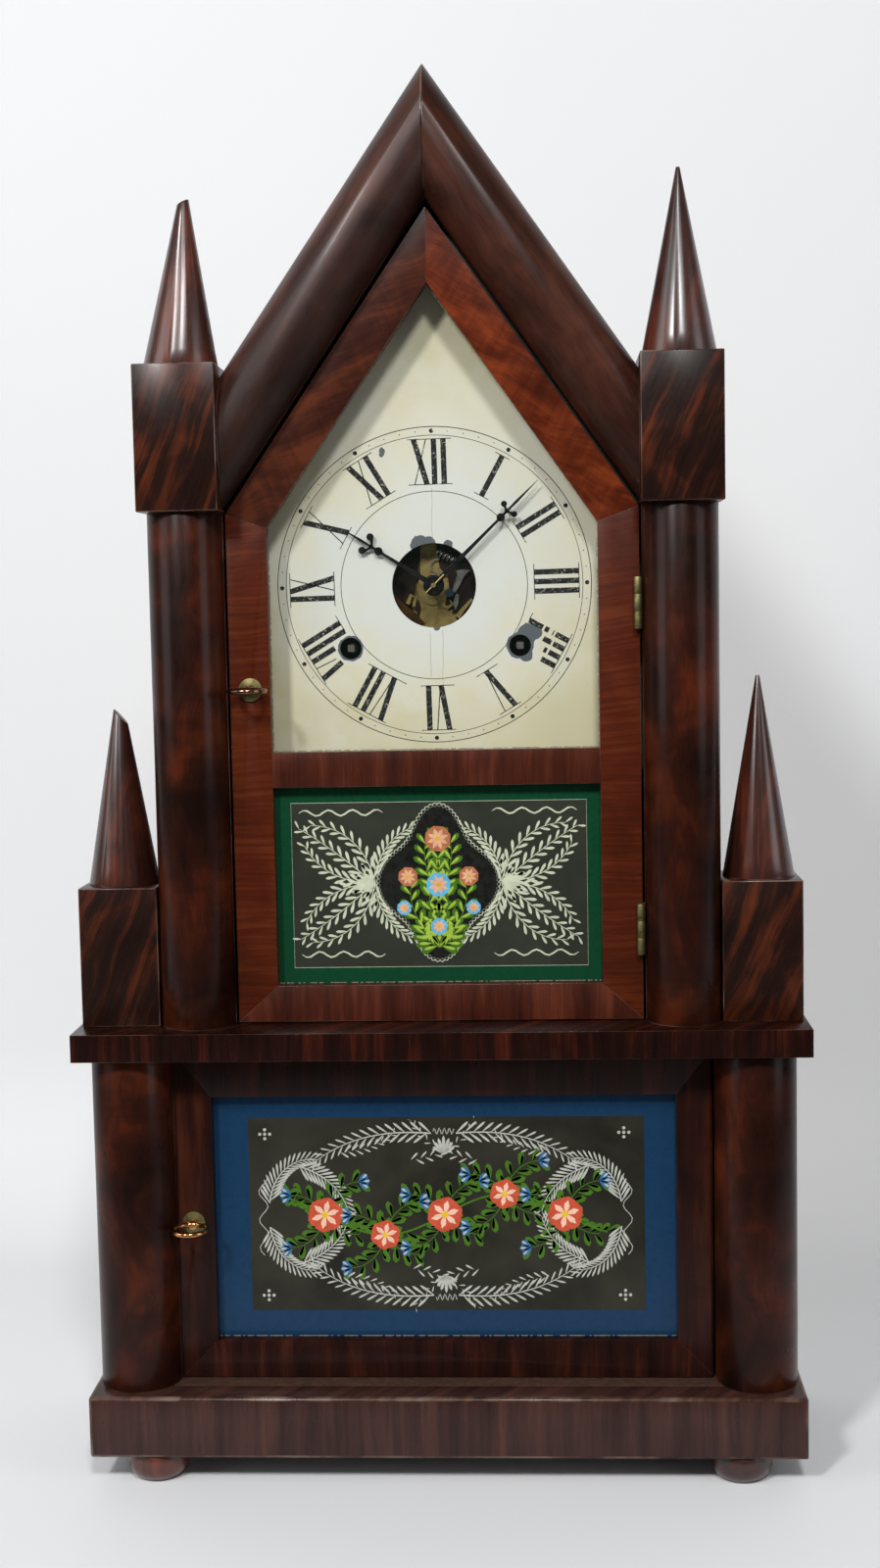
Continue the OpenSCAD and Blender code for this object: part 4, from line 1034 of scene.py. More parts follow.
@dataclass
class Studio:
    """Camera, lights and floor. The camera is the fit to the photograph."""

    focal_px: float = 1977.4
    frame_px: float = 1600.0
    eye: Place = (48.74, -940.4, 412.14)
    yaw: float = -0.0516
    pitch: float = -0.0883
    roll: float = -0.0193
    lamps: tuple[Lamp, ...] = (
        Lamp("left key", (-0.72, -1.5, 1.5), (0.0, 0.0, 0.4), (0.2, 0.3), 23.0),
        Lamp("right key", (0.22, -1.6, 1.68), (0.0, 0.0, 0.4), (0.26, 0.36), 22.0),
        Lamp("left", (-1.5, -0.8, 0.95), (0.0, 0.0, 0.35), (0.8, 1.2), 9.0),
        Lamp("right", (1.5, -0.8, 0.8), (0.0, 0.0, 0.3), (0.7, 1.2), 6.0))
    sky: Colour = (0.95, 0.97, 1.0)
    sky_strength: float = 0.09
    half_m: float = 3.0  # half the floor's width
    near_m: float = -2.8
    cove_m: float = 0.25  # where the floor starts to rise
    cove_radius_m: float = 0.12
    top_m: float = 2.4
    cove_steps: int = 8
    pale: tuple[Colour, Colour] = ((0.70, 0.71, 0.72), (0.73, 0.735, 0.745))
    dim: Colour = (0.07, 0.072, 0.075)
    fade_m: tuple[float, float] = (0.18, 0.42)  # where the floor turns dim, in front

    def camera(self) -> None:
        """Places the camera."""
        data = bpy.data.cameras.new("camera")
        data.sensor_fit = "VERTICAL"
        data.sensor_height = 36.0
        data.lens = self.focal_px / self.frame_px * data.sensor_height
        data.clip_end = 20.0
        level = math.cos(self.pitch)
        ahead = Vector((math.sin(self.yaw) * level, math.cos(self.yaw) * level,
                        math.sin(self.pitch)))
        right = Vector((math.cos(self.yaw), -math.sin(self.yaw), 0.0))
        up = right.cross(ahead)
        side = math.cos(self.roll) * right + math.sin(self.roll) * up
        top = math.cos(self.roll) * up - math.sin(self.roll) * right
        matrix = Matrix((side, top, -ahead)).transposed().to_4x4()
        matrix.translation = Vector(self.eye) * MM
        camera = add_object("camera", data)
        camera.matrix_world = matrix
        bpy.context.scene.camera = camera

    def light(self, lamp: Lamp) -> None:
        """Adds an area light.

        Args:
            lamp: The light.
        """
        data = bpy.data.lights.new(lamp.name, "AREA")
        data.shape = "RECTANGLE"
        data.size, data.size_y = lamp.size
        data.energy = lamp.watts
        item = add_object(lamp.name, data)
        item.location = lamp.place
        aim = Vector(lamp.target) - Vector(lamp.place)
        item.rotation_euler = aim.to_track_quat("-Z", "Y").to_euler()

    def room(self) -> None:
        """Sets the view and the light that comes from all sides."""
        scene = bpy.context.scene
        scene.view_settings.view_transform = "Standard"
        scene.view_settings.look = "None"
        world = bpy.data.worlds.new("room")
        world.use_nodes = True
        background = world.node_tree.nodes["Background"]
        background.inputs[0].default_value = (*self.sky, 1.0)
        background.inputs[1].default_value = self.sky_strength
        scene.world = world

    def floor(self) -> None:
        """Builds the floor, which rises into the wall behind the clock."""
        radius = self.cove_radius_m
        profile = [(self.near_m, 0.0), (self.cove_m, 0.0)]
        profile += [(self.cove_m + radius * math.sin(a), radius - radius * math.cos(a))
                    for a in (math.pi / 2 * i / self.cove_steps
                              for i in range(1, self.cove_steps + 1))]
        profile += [(self.cove_m + radius, self.top_m)]
        bm = bmesh.new()
        left, right = ([bm.verts.new((x, y, z)) for y, z in profile]
                       for x in (-self.half_m, self.half_m))
        for i in range(len(profile) - 1):
            bm.faces.new((left[i], right[i], right[i + 1], left[i + 1]))
        mesh = bpy.data.meshes.new("floor")
        bm.to_mesh(mesh)
        bm.free()
        paint = Paint("pale floor")
        x, y, z = paint.axes()
        cloud = paint.noise(paint.vector(x, y, z), 3.0, 2.0)
        pale = paint.mix(cloud, *self.pale)
        # The wall shows only its front, so that the clock's back can be seen through it
        behind = paint.value(paint.node("ShaderNodeNewGeometry").outputs["Backfacing"])
        # The floor darkens towards the viewer, so that the lacquer doesn't mirror it
        colour = paint.mix((-y).step(*self.fade_m), pale, self.dim)
        mesh.materials.append(paint.surface(colour, 0.7, Alpha=-behind + 1.0))
        shade_smooth(mesh)
        floor = add_object("floor", mesh)

    def build(self) -> None:
        """Builds camera, lights, floor and wall."""
        self.camera()
        self.room()
        for lamp in self.lamps:
            self.light(lamp)
        self.floor()
        LOG.info("studio ready")


@dataclass
class CaseWork:
    """The veneered case, from its feet to its spires."""

    bench: Bench

    def build(self) -> None:
        """Dresses every board, column, block and spire."""
        # The left halves take the paler copy of the mouldings' wood, partly painted light
        right, left = Wood.MOULDING_RIGHT, Wood.MOULDING_LEFT
        for node, edge, *finishes in (
            ("base_boards", 1.6, Wood.BASE),
            ("waist_shelf", 1.3, Wood.SHELF),
            ("lower_columns", 0.35, Wood.COLUMN),
            ("upper_columns", 0.35, Wood.COLUMN),
            ("face_stiles", 0.4, Wood.LOW_DOOR),
            ("side_boards", 0.6, Wood.SIDE),
            ("spire_blocks", 0.5, Wood.BLOCK),
            ("spires", 0.35, Wood.TURNED),
            ("bun_feet", 0.5, Wood.TURNED),
            ("gable_mouldings", 0.5, right, left),
            ("gable_face_boards", 0.4, right, left),
            ("roof_boards", 0.6, Wood.SIDE, Wood.SIDE),
        ):
            self.bench.polish(node, edge, finishes[0], Wood.EDGE, *finishes[1:])
        self.bench.dress(Wood.SOFT, "lower_backboard", "upper_backboard", "movement_battens")
        # The base floor's dark finish is painted shade for the gap it shows through
        self.bench.dress(Wood.STAINED, "base_floor")


@dataclass
class DoorWork:
    """Both doors: veneered members, glass and old glue lines."""

    bench: Bench
    glass_front: float = -28.0
    # The upper door's sight opening and the lower edges of the two tablets' openings
    half_in: float = 77.2
    sight_foot: float = 347.7
    sight_shoulder: float = 454.5
    sight_peak: float = 563.5
    tablet_foot: float = 236.3
    low_half_in: float = 111.1
    low_foot: float = 62.2
    # The glue lines
    overlap: float = 0.3  # how far they reach in from the opening's edge
    peak_overlap: float = 0.5
    crumb: float = 1.1  # length of one piece of a line
    gaps: float = 0.22  # share of the line that is gone
    widths: tuple[float, float] = (0.15, 0.45)

    def glue_line(self, name: str, path: Sequence[Point], body: str, seed: int) -> None:
        """Broken pale line of old glue along a sight edge.

        Args:
            name: Its name.
            path: Its corners.
            body: The door's body.
            seed: Seed of its breaks.
        """
        dice = random.Random(seed)
        line = Stencil(self.bench, name, self.glass_front, Other.GLUE, thick=0.5)
        for (x0, z0), (x1, z1) in zip(path, path[1:]):
            steps = max(2, int(math.hypot(x1 - x0, z1 - z0) / self.crumb))
            for i in range(steps):
                if dice.random() < self.gaps:
                    continue
                ends = [(x0 + (x1 - x0) * t, z0 + (z1 - z0) * t)
                        for t in (i / steps, (i + 1) / steps)]
                line.stroke(ends, [dice.uniform(*self.widths) for _ in ends])
        line.done(body, "red_mahogany")

    def build(self) -> None:
        """Dresses the doors."""
        for node, edge, *finishes in (
            ("upper_door_stiles", 0.45, Wood.STILE),
            # The right rail takes the brighter copy, partly a painted sheen
            ("upper_door_gable_rails", 0.4, Wood.GABLE_RIGHT, Wood.GABLE_LEFT),
            ("upper_door_cross_rails", 0.45, Wood.CROSS),
            ("lower_door_stiles", 0.45, Wood.LOW_DOOR),
            ("lower_door_rails", 0.45, Wood.LOW_DOOR),
        ):
            self.bench.polish(node, edge, finishes[0], Wood.EDGE, *finishes[1:])
        self.bench.dress(Other.GLASS, "upper_glass")
        w, low = self.half_in - self.overlap, self.low_half_in - self.overlap
        foot, peak = self.sight_foot + self.overlap, self.sight_peak - self.peak_overlap
        shoulder = self.sight_shoulder
        self.glue_line("upper_glue_line", [(-w, foot), (w, foot), (w, shoulder), (0.0, peak),
                                           (-w, shoulder), (-w, foot)], "upper_door", 3)
        for name, half, edge, body, seed in (
            ("tablet_glue_line", w, self.tablet_foot, "upper_door", 5),
            ("lower_glue_line", low, self.low_foot, "lower_door", 7),
        ):
            height = edge + self.overlap
            self.glue_line(name, [(-half, height), (half, height)], body, seed)


@dataclass
class DialWork:
    """The painted dial with its printed rings, dots and numerals."""

    bench: Bench
    centre: Point = (0.0, 425.0)
    front: float = -16.0
    winding: Point = (40.4, -29.2)  # the right winding hole, from the centre
    rubbed: tuple[float, float] = (7.6, 11.4)  # radius without print at each winding hole
    rubbed_hour: int = 4  # the numeral that is rubbed all over
    rubbed_share: float = 0.07
    track: tuple[float, float] = (74.6, 70.6)
    inner_ring: float = 44.4
    numeral: tuple[float, float] = (47.6, 68.8)  # radii of the numerals' feet and tops
    turn: float = 0.9  # how far the dial is turned anticlockwise, in degrees
    thick: float = 2.6  # widths of a numeral's strokes and serifs
    thin: float = 0.5
    serif: float = 0.38
    names: tuple[str, ...] = ("XII", "I", "II", "III", "IIII", "V", "VI", "VII", "VIII", "IX", "X",
                              "XI")

    def letters(self, text: str) -> list[tuple[list[Point], float]]:
        """Strokes of a Roman numeral.

        Args:
            text: The numeral.

        Returns:
            Lines from foot to top, as (across, 0 to 1), each with its width.
        """
        wide = {"I": 4.5, "V": 8.6, "X": 8.6}
        margin, overhang = 1.4, 1.6
        thick_foot, thin_foot = 0.6, 0.9
        total = sum(wide[c] for c in text)
        left = -total / 2
        lines: list[tuple[float, float, float]] = []
        for char in text:
            middle, half = left + wide[char] / 2, wide[char] / 2 - margin
            if char == "I":
                lines.append((middle, middle, self.thick))
            elif char == "V":
                lines.append((middle + thick_foot, middle - half, self.thick))
                lines.append((middle + thin_foot, middle + half, self.thin))
            else:
                lines.append((middle + half, middle - half, self.thick))
                lines.append((middle - half, middle + half, self.thin))
            left += wide[char]
        strokes = [([(foot, 0.0), (head, 1.0)], width) for foot, head, width in lines]
        reach = total / 2 + overhang
        strokes += [([(-reach, end), (reach, end)], self.serif) for end in (0.0, 1.0)]
        return strokes

    def worn(self, x: float, z: float, hour: int, dice: random.Random) -> bool:
        """Whether the print is rubbed off at a point.

        Args:
            x: Its place.
            z: Its height.
            hour: Number of the hour, where 0 is twelve.
            dice: Source of chance.

        Returns:
            True where nothing is left.
        """
        for side, reach in zip((-1, 1), self.rubbed):
            across = x - side * self.winding[0]
            if math.hypot(across, z - self.centre[1] - self.winding[1]) < reach:
                return True
        return hour == self.rubbed_hour and dice.random() < self.rubbed_share

    def print_numerals(self) -> None:
        """Prints the twelve numerals with their feet to the centre."""
        ink = Stencil(self.bench, "dial_numerals", self.front, Other.INK)
        dice = random.Random(11)
        low, high = self.numeral
        for hour, text in enumerate(self.names):
            angle = math.radians(90.0 - 30.0 * hour + self.turn)
            ux, uz = math.cos(angle), math.sin(angle)
            for (foot, head), width in self.letters(text):
                steps = 40 if width == self.thick else 12
                line: list[Point] = []
                for i in range(steps + 1):
                    across = foot[0] + (head[0] - foot[0]) * i / steps
                    radius = low + (high - low) * (foot[1] + (head[1] - foot[1]) * i / steps)
                    x = self.centre[0] + ux * radius + uz * across
                    z = self.centre[1] + uz * radius - ux * across
                    if not self.worn(x, z, hour, dice):
                        line.append((x, z))
                    elif line:
                        self.lay(ink, line, width)
                        line = []
                self.lay(ink, line, width)
        ink.done("case", "dial_paint")

    @staticmethod
    def lay(ink: Stencil, line: list[Point], width: float) -> None:
        """Adds what is left of a stroke, where it has a length."""
        if len(line) > 1:
            ink.stroke([line[0], line[-1]], [width])

    def dots(self, name: str, count: int, radius: float, dot: float) -> None:
        """Prints a ring of dots, grown by a node tree.

        Args:
            name: The piece's name.
            count: Number of dots.
            radius: Radius of the ring.
            dot: Radius of a dot.
        """
        tree = GeoTree("ring of dots")
        number = tree.size("Count", True)
        ring, size = map(tree.size, ("Ring radius", "Dot radius"))
        circles = tree.node("GeometryNodeMeshCircle", {"Vertices": number, "Radius": ring})
        spot = tree.node("GeometryNodeMeshCylinder",
                         {"Vertices": 12, "Radius": size, "Depth": 0.03 * MM})
        points = tree.node("GeometryNodeInstanceOnPoints", {"Points": circles, "Instance": spot})
        stood = tree.node("GeometryNodeTransform", {
            0: points, "Rotation": (math.radians(90), 0.0, 0.0),
            "Translation": (self.centre[0] * MM, (self.front - 0.01) * MM, self.centre[1] * MM)})
        tree.close(stood, self.bench.finish(Other.INK))
        piece = tree.grow(name, {"Count": count, "Ring radius": radius * MM,
                                 "Dot radius": dot * MM})
        self.bench.settle(piece, "case", "dial_paint")

    def build(self) -> None:
        """Paints and prints the dial."""
        height = self.centre[1] + self.winding[1]
        holes = tuple((side * self.winding[0], height) for side in (-1, 1))
        self.bench.dress(DialPaint(self.centre, holes), "dial")
        lines = Stencil(self.bench, "dial_rings", self.front, Other.HAIRLINE)
        for radius, width in ((self.track[0], 0.42), (self.track[1], 0.3),
                              (self.inner_ring, 0.34)):
            lines.ring(*self.centre, radius, width)
        lines.done("case", "dial_paint")
        middle = sum(self.track) / 2
        self.dots("dial_minute_dots", 60, middle, 0.3)
        self.dots("dial_hour_dots", 12, middle, 1.05)
        self.print_numerals()


@dataclass(frozen=True)
class HandShape:
    """Cut outline of a hand, named as its node and its body are."""

    node: str
    turn: float  # direction in degrees, clockwise from twelve
    back: float
    arm: float  # distance of its disc from the centre
    length: float  # distance of its tip
    leaf: tuple[float, float, float]  # place along and across of its side leaves, and radius
    boss: float


HANDS = (HandShape("minute_hand", 46.0, -19.9, 44.8, 69.4, (1.0, 3.4, 1.45), 4.4),
         HandShape("hour_hand", 302.5, -17.9, 30.8, 52.0, (2.3, 3.7, 1.75), 5.0))

# What the dial's middle hole shows of the front plate, from the hands' centre; the first table
# outlines painted shade where the plate's openings show dark
PLATE_OPENING_SHADES = (
    ((-6.6, 20.5), (-7.0, 13.3), (-8.9, 4.9), (-9.2, -0.8), (-10.8, -3.1), (-13.1, -7.8),
     (-16.0, -8.3), (-19.7, -4.5), (-21.5, 0.0), (-21.5, 14.0), (-14.0, 21.0)),
    ((-9.8, -7.3), (-7.9, -8.0), (-6.9, -11.0), (-7.6, -14.0), (-8.2, -17.0), (-9.0, -13.0),
     (-10.2, -11.0)),
    ((0.9, 20.5), (1.4, 14.3), (2.3, 8.6), (6.1, 3.9), (6.8, -0.8), (5.6, -5.4), (4.4, -9.4),
     (6.4, -12.4), (9.0, -11.0), (10.3, -18.6), (14.6, -15.0), (20.5, -5.4), (21.0, 3.9),
     (16.9, 16.1), (9.4, 21.0)))
PLATE_SCROLLS = (
    (((3.4, -9.6), (6.0, -10.6), (8.2, -9.0), (7.0, -7.2)), (1.2, 1.5, 1.1, 0.6)),
    (((10.4, -15.2), (13.4, -11.4), (17.6, -6.8)), (2.4, 1.8, 1.3)),
    (((-13.4, -8.6), (-11.6, -4.2), (-9.6, -5.4), (-10.4, -9.8)), (2.0, 1.4, 1.0, 1.6)))
PLATE_FOOT = ((-20.0, -5.2), (-15.6, -10.4), (-10.6, -14.8), (-6.0, -18.6))
WARNING_LEVER = (
    ((16.9, 6.9), (14.0, 7.5), (10.3, 6.9), (10.9, 4.9), (9.4, 1.1), (8.0, -3.6), (9.8, -3.4),
     (12.4, 0.8), (14.0, 4.2), (15.9, 6.2)),
    ((10.0, -4.0), (8.6, -8.6), (9.6, -12.0), (11.0, -8.8), (11.4, -4.6)))
SPRING_LOOP = ((2.3, 12.6), (-0.2, 12.2), (-1.9, 10.3), (-1.6, 7.5), (0.5, 6.0), (3.8, 5.6),
               (6.1, 4.7))


@dataclass
class HandWork:
    """Hands, their pin and what shows of the movement."""

    bench: Bench
    centre: Point = (0.0, 425.0)
    plate_front: float = -6.0
    winding: Point = (40.4, -29.2)  # the right winding arbor, from the centre

    def coil(self, name: str, kind: Finish, place: Place, lean: float,
             sizes: dict[str, float]) -> None:
        """Wound wire, grown by a node tree.

        Args:
            name: The piece's name.
            kind: Its finish.
            place: Where its axis starts.
            lean: Direction of its axis, in degrees clockwise from the top.
            sizes: Turns, radii, height and wire radius.
        """
        tree = GeoTree("wound wire")
        turns, first, last, height, wire = map(tree.size, sizes)
        spiral = tree.node("GeometryNodeCurveSpiral", {
            "Resolution": 24, "Rotations": turns, "Start Radius": first, "End Radius": last,
            "Height": height})
        profile = tree.node("GeometryNodeCurvePrimitiveCircle", {"Resolution": 8, "Radius": wire})
        tube = tree.node("GeometryNodeCurveToMesh", {0: spiral, 1: profile, "Fill Caps": True})
        placed = tree.node("GeometryNodeTransform", {
            0: tube, "Rotation": (0.0, math.radians(lean), 0.0),
            "Translation": tuple(p * MM for p in place)})
        tree.close(placed, self.bench.finish(kind))
        self.bench.settle(tree.grow(name, sizes), "case", "steel")

    def hand(self, hand: HandShape) -> None:
        """Hand with a disc, a trefoil and a blade, in place of the plain one.

        Args:
            hand: Its outline.
        """
        ux, uz = math.sin(math.radians(hand.turn)), math.cos(math.radians(hand.turn))

        def at(along: float, across: float) -> Point:
            """Point of the hand."""
            return (self.centre[0] + ux * along - uz * across,
                    self.centre[1] + uz * along + ux * across)

        arm, boss, length = hand.arm, hand.boss, hand.length
        joint = arm + 4.6
        # The disc, the neck that joins it to the boss, the trefoil's stem and the blade
        blued = Stencil(self.bench, hand.node + "_cut", hand.back, Bright.BLUED, thick=0.7)
        blued.disc(*at(0, 0), boss, 28)
        blued.stroke([at(boss * 0.7, 0), at(arm * 0.6, 0), at(arm, 0)], [2.7, 1.7, 1.15])
        blued.disc(*at(arm, 0), 2.0, 20)
        blued.stroke([at(arm + 1.0, 0), at(joint, 0)], [1.1, 1.5])
        blued.stroke([at(joint - 0.8, 0), at(joint + (length - joint) * 0.3, 0), at(length, 0)],
                     [1.0, 1.35, 0.16])
        along, across, radius = hand.leaf
        for side in (-1, 1):
            blued.stroke([at(joint - 0.6, 0), at(joint + 0.2, side * across * 0.5),
                          at(joint + along * 0.5, side * across * 0.85)], [1.5, 1.2, 1.3])
            blued.disc(*at(joint + along, side * across), radius, 18)
        piece = blued.piece()
        self.bench.round_edges(piece, 0.16)
        self.bench.settle(piece, hand.node, "blued_steel", hand.node)

    def openings(self, z: float) -> None:
        """Painted shade for the front plate's openings and winding holes, the boss of its strip and
        its scrolled foot.

        Args:
            z: Height of the hands' centre.
        """
        front = self.plate_front
        # Dark sheets of painted shade where the plate's openings and the winding holes show depth
        dark = Stencil(self.bench, "plate_openings", front, Other.DEPTH, thick=0.03)
        for outline in PLATE_OPENING_SHADES:
            dark.shape(lifted(outline, z))
        for side in (-1, 1):
            dark.ring(side * self.winding[0], z + self.winding[1], 4.3, 4.0, 32)
        dark.done("case", "brass")
        boss = Stencil(self.bench, "plate_boss", front - 0.03, Bright.BRASS, thick=1.0)
        boss.disc(-1.0, z - 1.6, 7.6, 40)
        for path, widths in PLATE_SCROLLS:
            boss.stroke(lifted(path, z), widths)
        boss.done("case", "brass")
        glow = Stencil(self.bench, "plate_foot", front - 0.03, Bright.COPPERY, thick=0.6)
        glow.stroke(lifted(PLATE_FOOT, z), [1.5, 3.6, 4.2, 2.0])
        glow.done("case", "brass")

    def steelwork(self, z: float) -> None:
        """Steel lever, count spring and blue screw on the front plate.

        Args:
            z: Height of the hands' centre.
        """
        front = self.plate_front
        steel = Stencil(self.bench, "warning_lever", front - 1.2, Bright.STEEL, thick=0.9)
        for outline in WARNING_LEVER:
            steel.shape(lifted(outline, z))
        steel.done("case", "steel")
        loop = Stencil(self.bench, "spring_loop", front - 1.0, Bright.STEEL, thick=0.5)
        loop.stroke(lifted(SPRING_LOOP, z), [0.75])
        loop.done("case", "steel")
        self.coil("count_spring", Bright.STEEL, (1.2, front - 2.4, z + 16.0), 115.6, {
            "Turns": 5.0, "Start radius": 1.9 * MM, "End radius": 1.7 * MM, "Height": 10.0 * MM,
            "Wire radius": 0.32 * MM})
        screw = Stencil(self.bench, "blue_plate_screw", front - 0.6, Bright.BLUE_SCREW, thick=2.0)
        screw.disc(7.0, z - 3.6, 2.0, 24)
        screw.done("case", "steel")

    def build(self) -> None:
        """Dresses the hands and the movement."""
        for shape in HANDS:
            self.hand(shape)
        dress = self.bench.dress
        dress(Bright.BRASS, "front_plate", "back_plate", "plate_pillars", "time_great_wheel",
              "strike_great_wheel", "time_second_wheel", "strike_second_wheel", "centre_wheel",
              "third_wheel", "escape_wheel", "pin_wheel", "fly", "hour_wheel", "minute_wheel",
              "hand_pin", "pendulum_bob")
        dress(Bright.STEEL, "time_drum", "strike_drum", "verge", "pendulum_rod", "hammer",
              "lower_door_pins")
        dress(Bright.IRON, "spring_irons", "leaf_spring", "gong", "time_lever", "strike_lever")
        self.openings(self.centre[1])
        self.steelwork(self.centre[1])


@dataclass(frozen=True)
class Foliage:
    """Leaves of a painted spray."""

    count: int  # leaves on a stem
    length: float  # of the leaf at the stem's foot
    width: float
    splay: float  # angle between leaf and stem in degrees
    end: float  # share of the size that is left at the tip


@dataclass
class Tablet:
    """A painted glass in a general country style."""

    bench: Bench
    body: str
    slot: str
    middle: float
    front: float = -28.0

    def layer(self, name: str, kind: Finish, lift: float = 0.0, thick: float = 0.02) -> Stencil:
        """New layer of paint, in front of the glass by its lift."""
        return Stencil(self.bench, name, self.front - lift, kind, thick)

    def dry(self, *layers: Stencil) -> None:
        """Ends layers of paint."""
        for layer in layers:
            layer.done(self.body, self.slot)

    def rope(self, name: str, path: Sequence[Point], kind: Finish, waves: int, swing: float,
             wire: float) -> None:
        """Two crossing waves along a closed path, grown by a node tree.

        Args:
            name: The piece's name.
            path: The path's corners.
            kind: The finish.
            waves: Number of waves.
            swing: Their height.
            wire: Half the line's width.
        """
        tree = GeoTree("painted rope")
        number, reach, line = map(tree.size, ("Waves", "Swing", "Half width"))
        curve = tree.node("GeometryNodeMeshToCurve", {0: tree.given})
        fine = tree.node("GeometryNodeResampleCurve", {0: curve, "Count": waves * 10})
        share = tree.node("GeometryNodeSplineParameter")
        tangent = tree.node("GeometryNodeInputTangent")
        across = tree.node("ShaderNodeVectorMath", {0: tangent, 1: (0.0, 1.0, 0.0)},
                           operation="CROSS_PRODUCT")
        join = tree.node("GeometryNodeJoinGeometry")
        for sign in (1.0, -1.0):
            turn = tree.value(share.outputs["Factor"]) * number * (2 * math.pi)
            wave = turn.sine() * reach * sign
            shift = tree.node("ShaderNodeVectorMath", {0: across, "Scale": wave},
                              operation="SCALE")
            moved = tree.node("GeometryNodeSetPosition", {0: fine, "Offset": shift})
            profile = tree.node("GeometryNodeCurvePrimitiveCircle",
                                {"Resolution": 4, "Radius": line})
            tube = tree.node("GeometryNodeCurveToMesh", {0: moved, 1: profile})
            tree.put(tube, join.inputs[0])
        flat = tree.node("GeometryNodeTransform", {
            0: join, "Scale": (1.0, 0.12, 1.0), "Translation": (0.0, self.front * MM, 0.0)})
        tree.close(flat, self.bench.finish(kind))
        mesh = bpy.data.meshes.new(name + "_path")
        count = len(path)
        mesh.from_pydata([(x * MM, 0.0, z * MM) for x, z in path],
                         [(i, (i + 1) % count) for i in range(count)], [])
        sizes = {"Waves": float(waves), "Swing": swing * MM, "Half width": wire * MM}
        self.bench.settle(tree.grow(name, sizes, mesh), self.body, self.slot)

    def spray(self, name: str, paths: Sequence[Sequence[Point]], kind: Finish, leaves: Foliage,
              lift: float = 0.0) -> None:
        """Leaves on both sides of curved stems, grown by a node tree.

        Args:
            name: The piece's name.
            paths: The stems.
            kind: The finish.
            leaves: The leaves' number and sizes.
            lift: Thickness of the paint below it.
        """
        leaf = Stencil(self.bench, name + "_leaf", 0.0, kind)
        leaf.petal(0.0, 0.0, 90.0, leaves.length, leaves.width, 6)
        pattern = leaf.piece()
        tree = GeoTree("painted spray")
        number = tree.size("Leaves", True)
        angle, small = map(tree.size, ("Splay", "Tip size"))
        curve = tree.node("GeometryNodeMeshToCurve", {0: tree.given})
        fine = tree.node("GeometryNodeResampleCurve", {0: curve, "Count": number})
        tangent = tree.node("ShaderNodeSeparateXYZ", {0: tree.node("GeometryNodeInputTangent")})
        along_x, _, along_z = map(tree.value, tangent.outputs)
        heading = along_x.math("ARCTAN2", along_z)
        index = tree.value(tree.node("GeometryNodeInputIndex").outputs[0])
        parity = index.math("MODULO", 2.0) * 2.0 - 1.0
        share = tree.value(tree.node("GeometryNodeSplineParameter").outputs["Factor"])
        euler = tree.node("ShaderNodeCombineXYZ", {1: heading + parity * angle})
        turn = tree.node("FunctionNodeEulerToRotation", {0: euler})
        scale = share * (small - 1.0) + 1.0
        source = tree.node("GeometryNodeObjectInfo", {"Object": pattern})
        spread = tree.node("GeometryNodeInstanceOnPoints", {
            "Points": fine, "Instance": source.outputs["Geometry"], "Rotation": turn,
            "Scale": scale})
        flat = tree.node("GeometryNodeTransform", {
            0: spread, "Translation": (0.0, (self.front - lift) * MM, 0.0)})
        tree.close(flat, self.bench.finish(kind))
        mesh = bpy.data.meshes.new(name + "_stems")
        points: list[Place] = []
        edges: list[tuple[int, int]] = []
        for path in paths:
            first = len(points)
            points += [(x * MM, 0.0, z * MM) for x, z in path]
            edges += [(first + i, first + i + 1) for i in range(len(path) - 1)]
        mesh.from_pydata(points, edges, [])
        piece = tree.grow(name, {"Leaves": leaves.count, "Splay": math.radians(leaves.splay),
                                 "Tip size": leaves.end}, mesh)
        bpy.data.objects.remove(pattern)
        self.bench.settle(piece, self.body, self.slot)

    @staticmethod
    def curl(x: float, z: float, angle: float, length: float, bend: float,
             steps: int = 18) -> list[Point]:
        """Path that starts at (x, z) and bends evenly.

        Args:
            x: Its start.
            z: Height of its start.
            angle: First direction in degrees.
            length: Its length.
            bend: Total bend in degrees.
            steps: Number of steps.

        Returns:
            Its points.
        """
        path = [(x, z)]
        for i in range(steps):
            a = math.radians(angle + bend * (i / steps) ** 1.3)
            x, z = x + length / steps * math.cos(a), z + length / steps * math.sin(a)
            path.append((x, z))
        return path

    @staticmethod
    def mirrored(paths: Sequence[Sequence[Point]],
                 height: float | None = None) -> list[list[Point]]:
        """The paths and their mirror images.

        Args:
            paths: Paths on the right.
            height: Height of a level mirror line, where the lower half repeats the upper one.

        Returns:
            All paths.
        """
        both = [list(p) for p in paths] + [[(-x, z) for x, z in p] for p in paths]
        if height is not None:
            both += [[(x, 2 * height - z) for x, z in p] for p in both]
        return both

    def flowers(self, name: str, places: Sequence[tuple[float, float, float]], petals: int,
                tints: tuple[Finish, Finish, Finish]) -> None:
        """Round flowers in three layers.

        Args:
            name: Start of the pieces' names.
            places: Middle and radius of each.
            petals: Number of petals.
            tints: Finishes of the petals, of their inner half and of the middle.
        """
        words = ("petals", "hearts", "eyes")
        outer, inner, eye = layers = [
            Stencil(self.bench, f"{name}_{word}", self.front - 0.04 - 0.03 * i, kind)
            for i, (word, kind) in enumerate(zip(words, tints))]
        for x, z, radius in places:
            outer.disc(x, z, radius * 0.62, 20)
            for i in range(petals):
                angle = 360.0 * i / petals + 18.0
                outer.petal(x, z, angle, radius, radius * 0.92, step=1 + i % 3)
                for k, (lean, reach) in enumerate(((-9.0, 0.62), (0.0, 0.8), (9.0, 0.66))):
                    inner.petal(x, z, angle + lean, radius * reach, radius * 0.16,
                                step=(i + k) % 3)
            eye.disc(x, z, radius * 0.19, 12)
        self.dry(*layers)

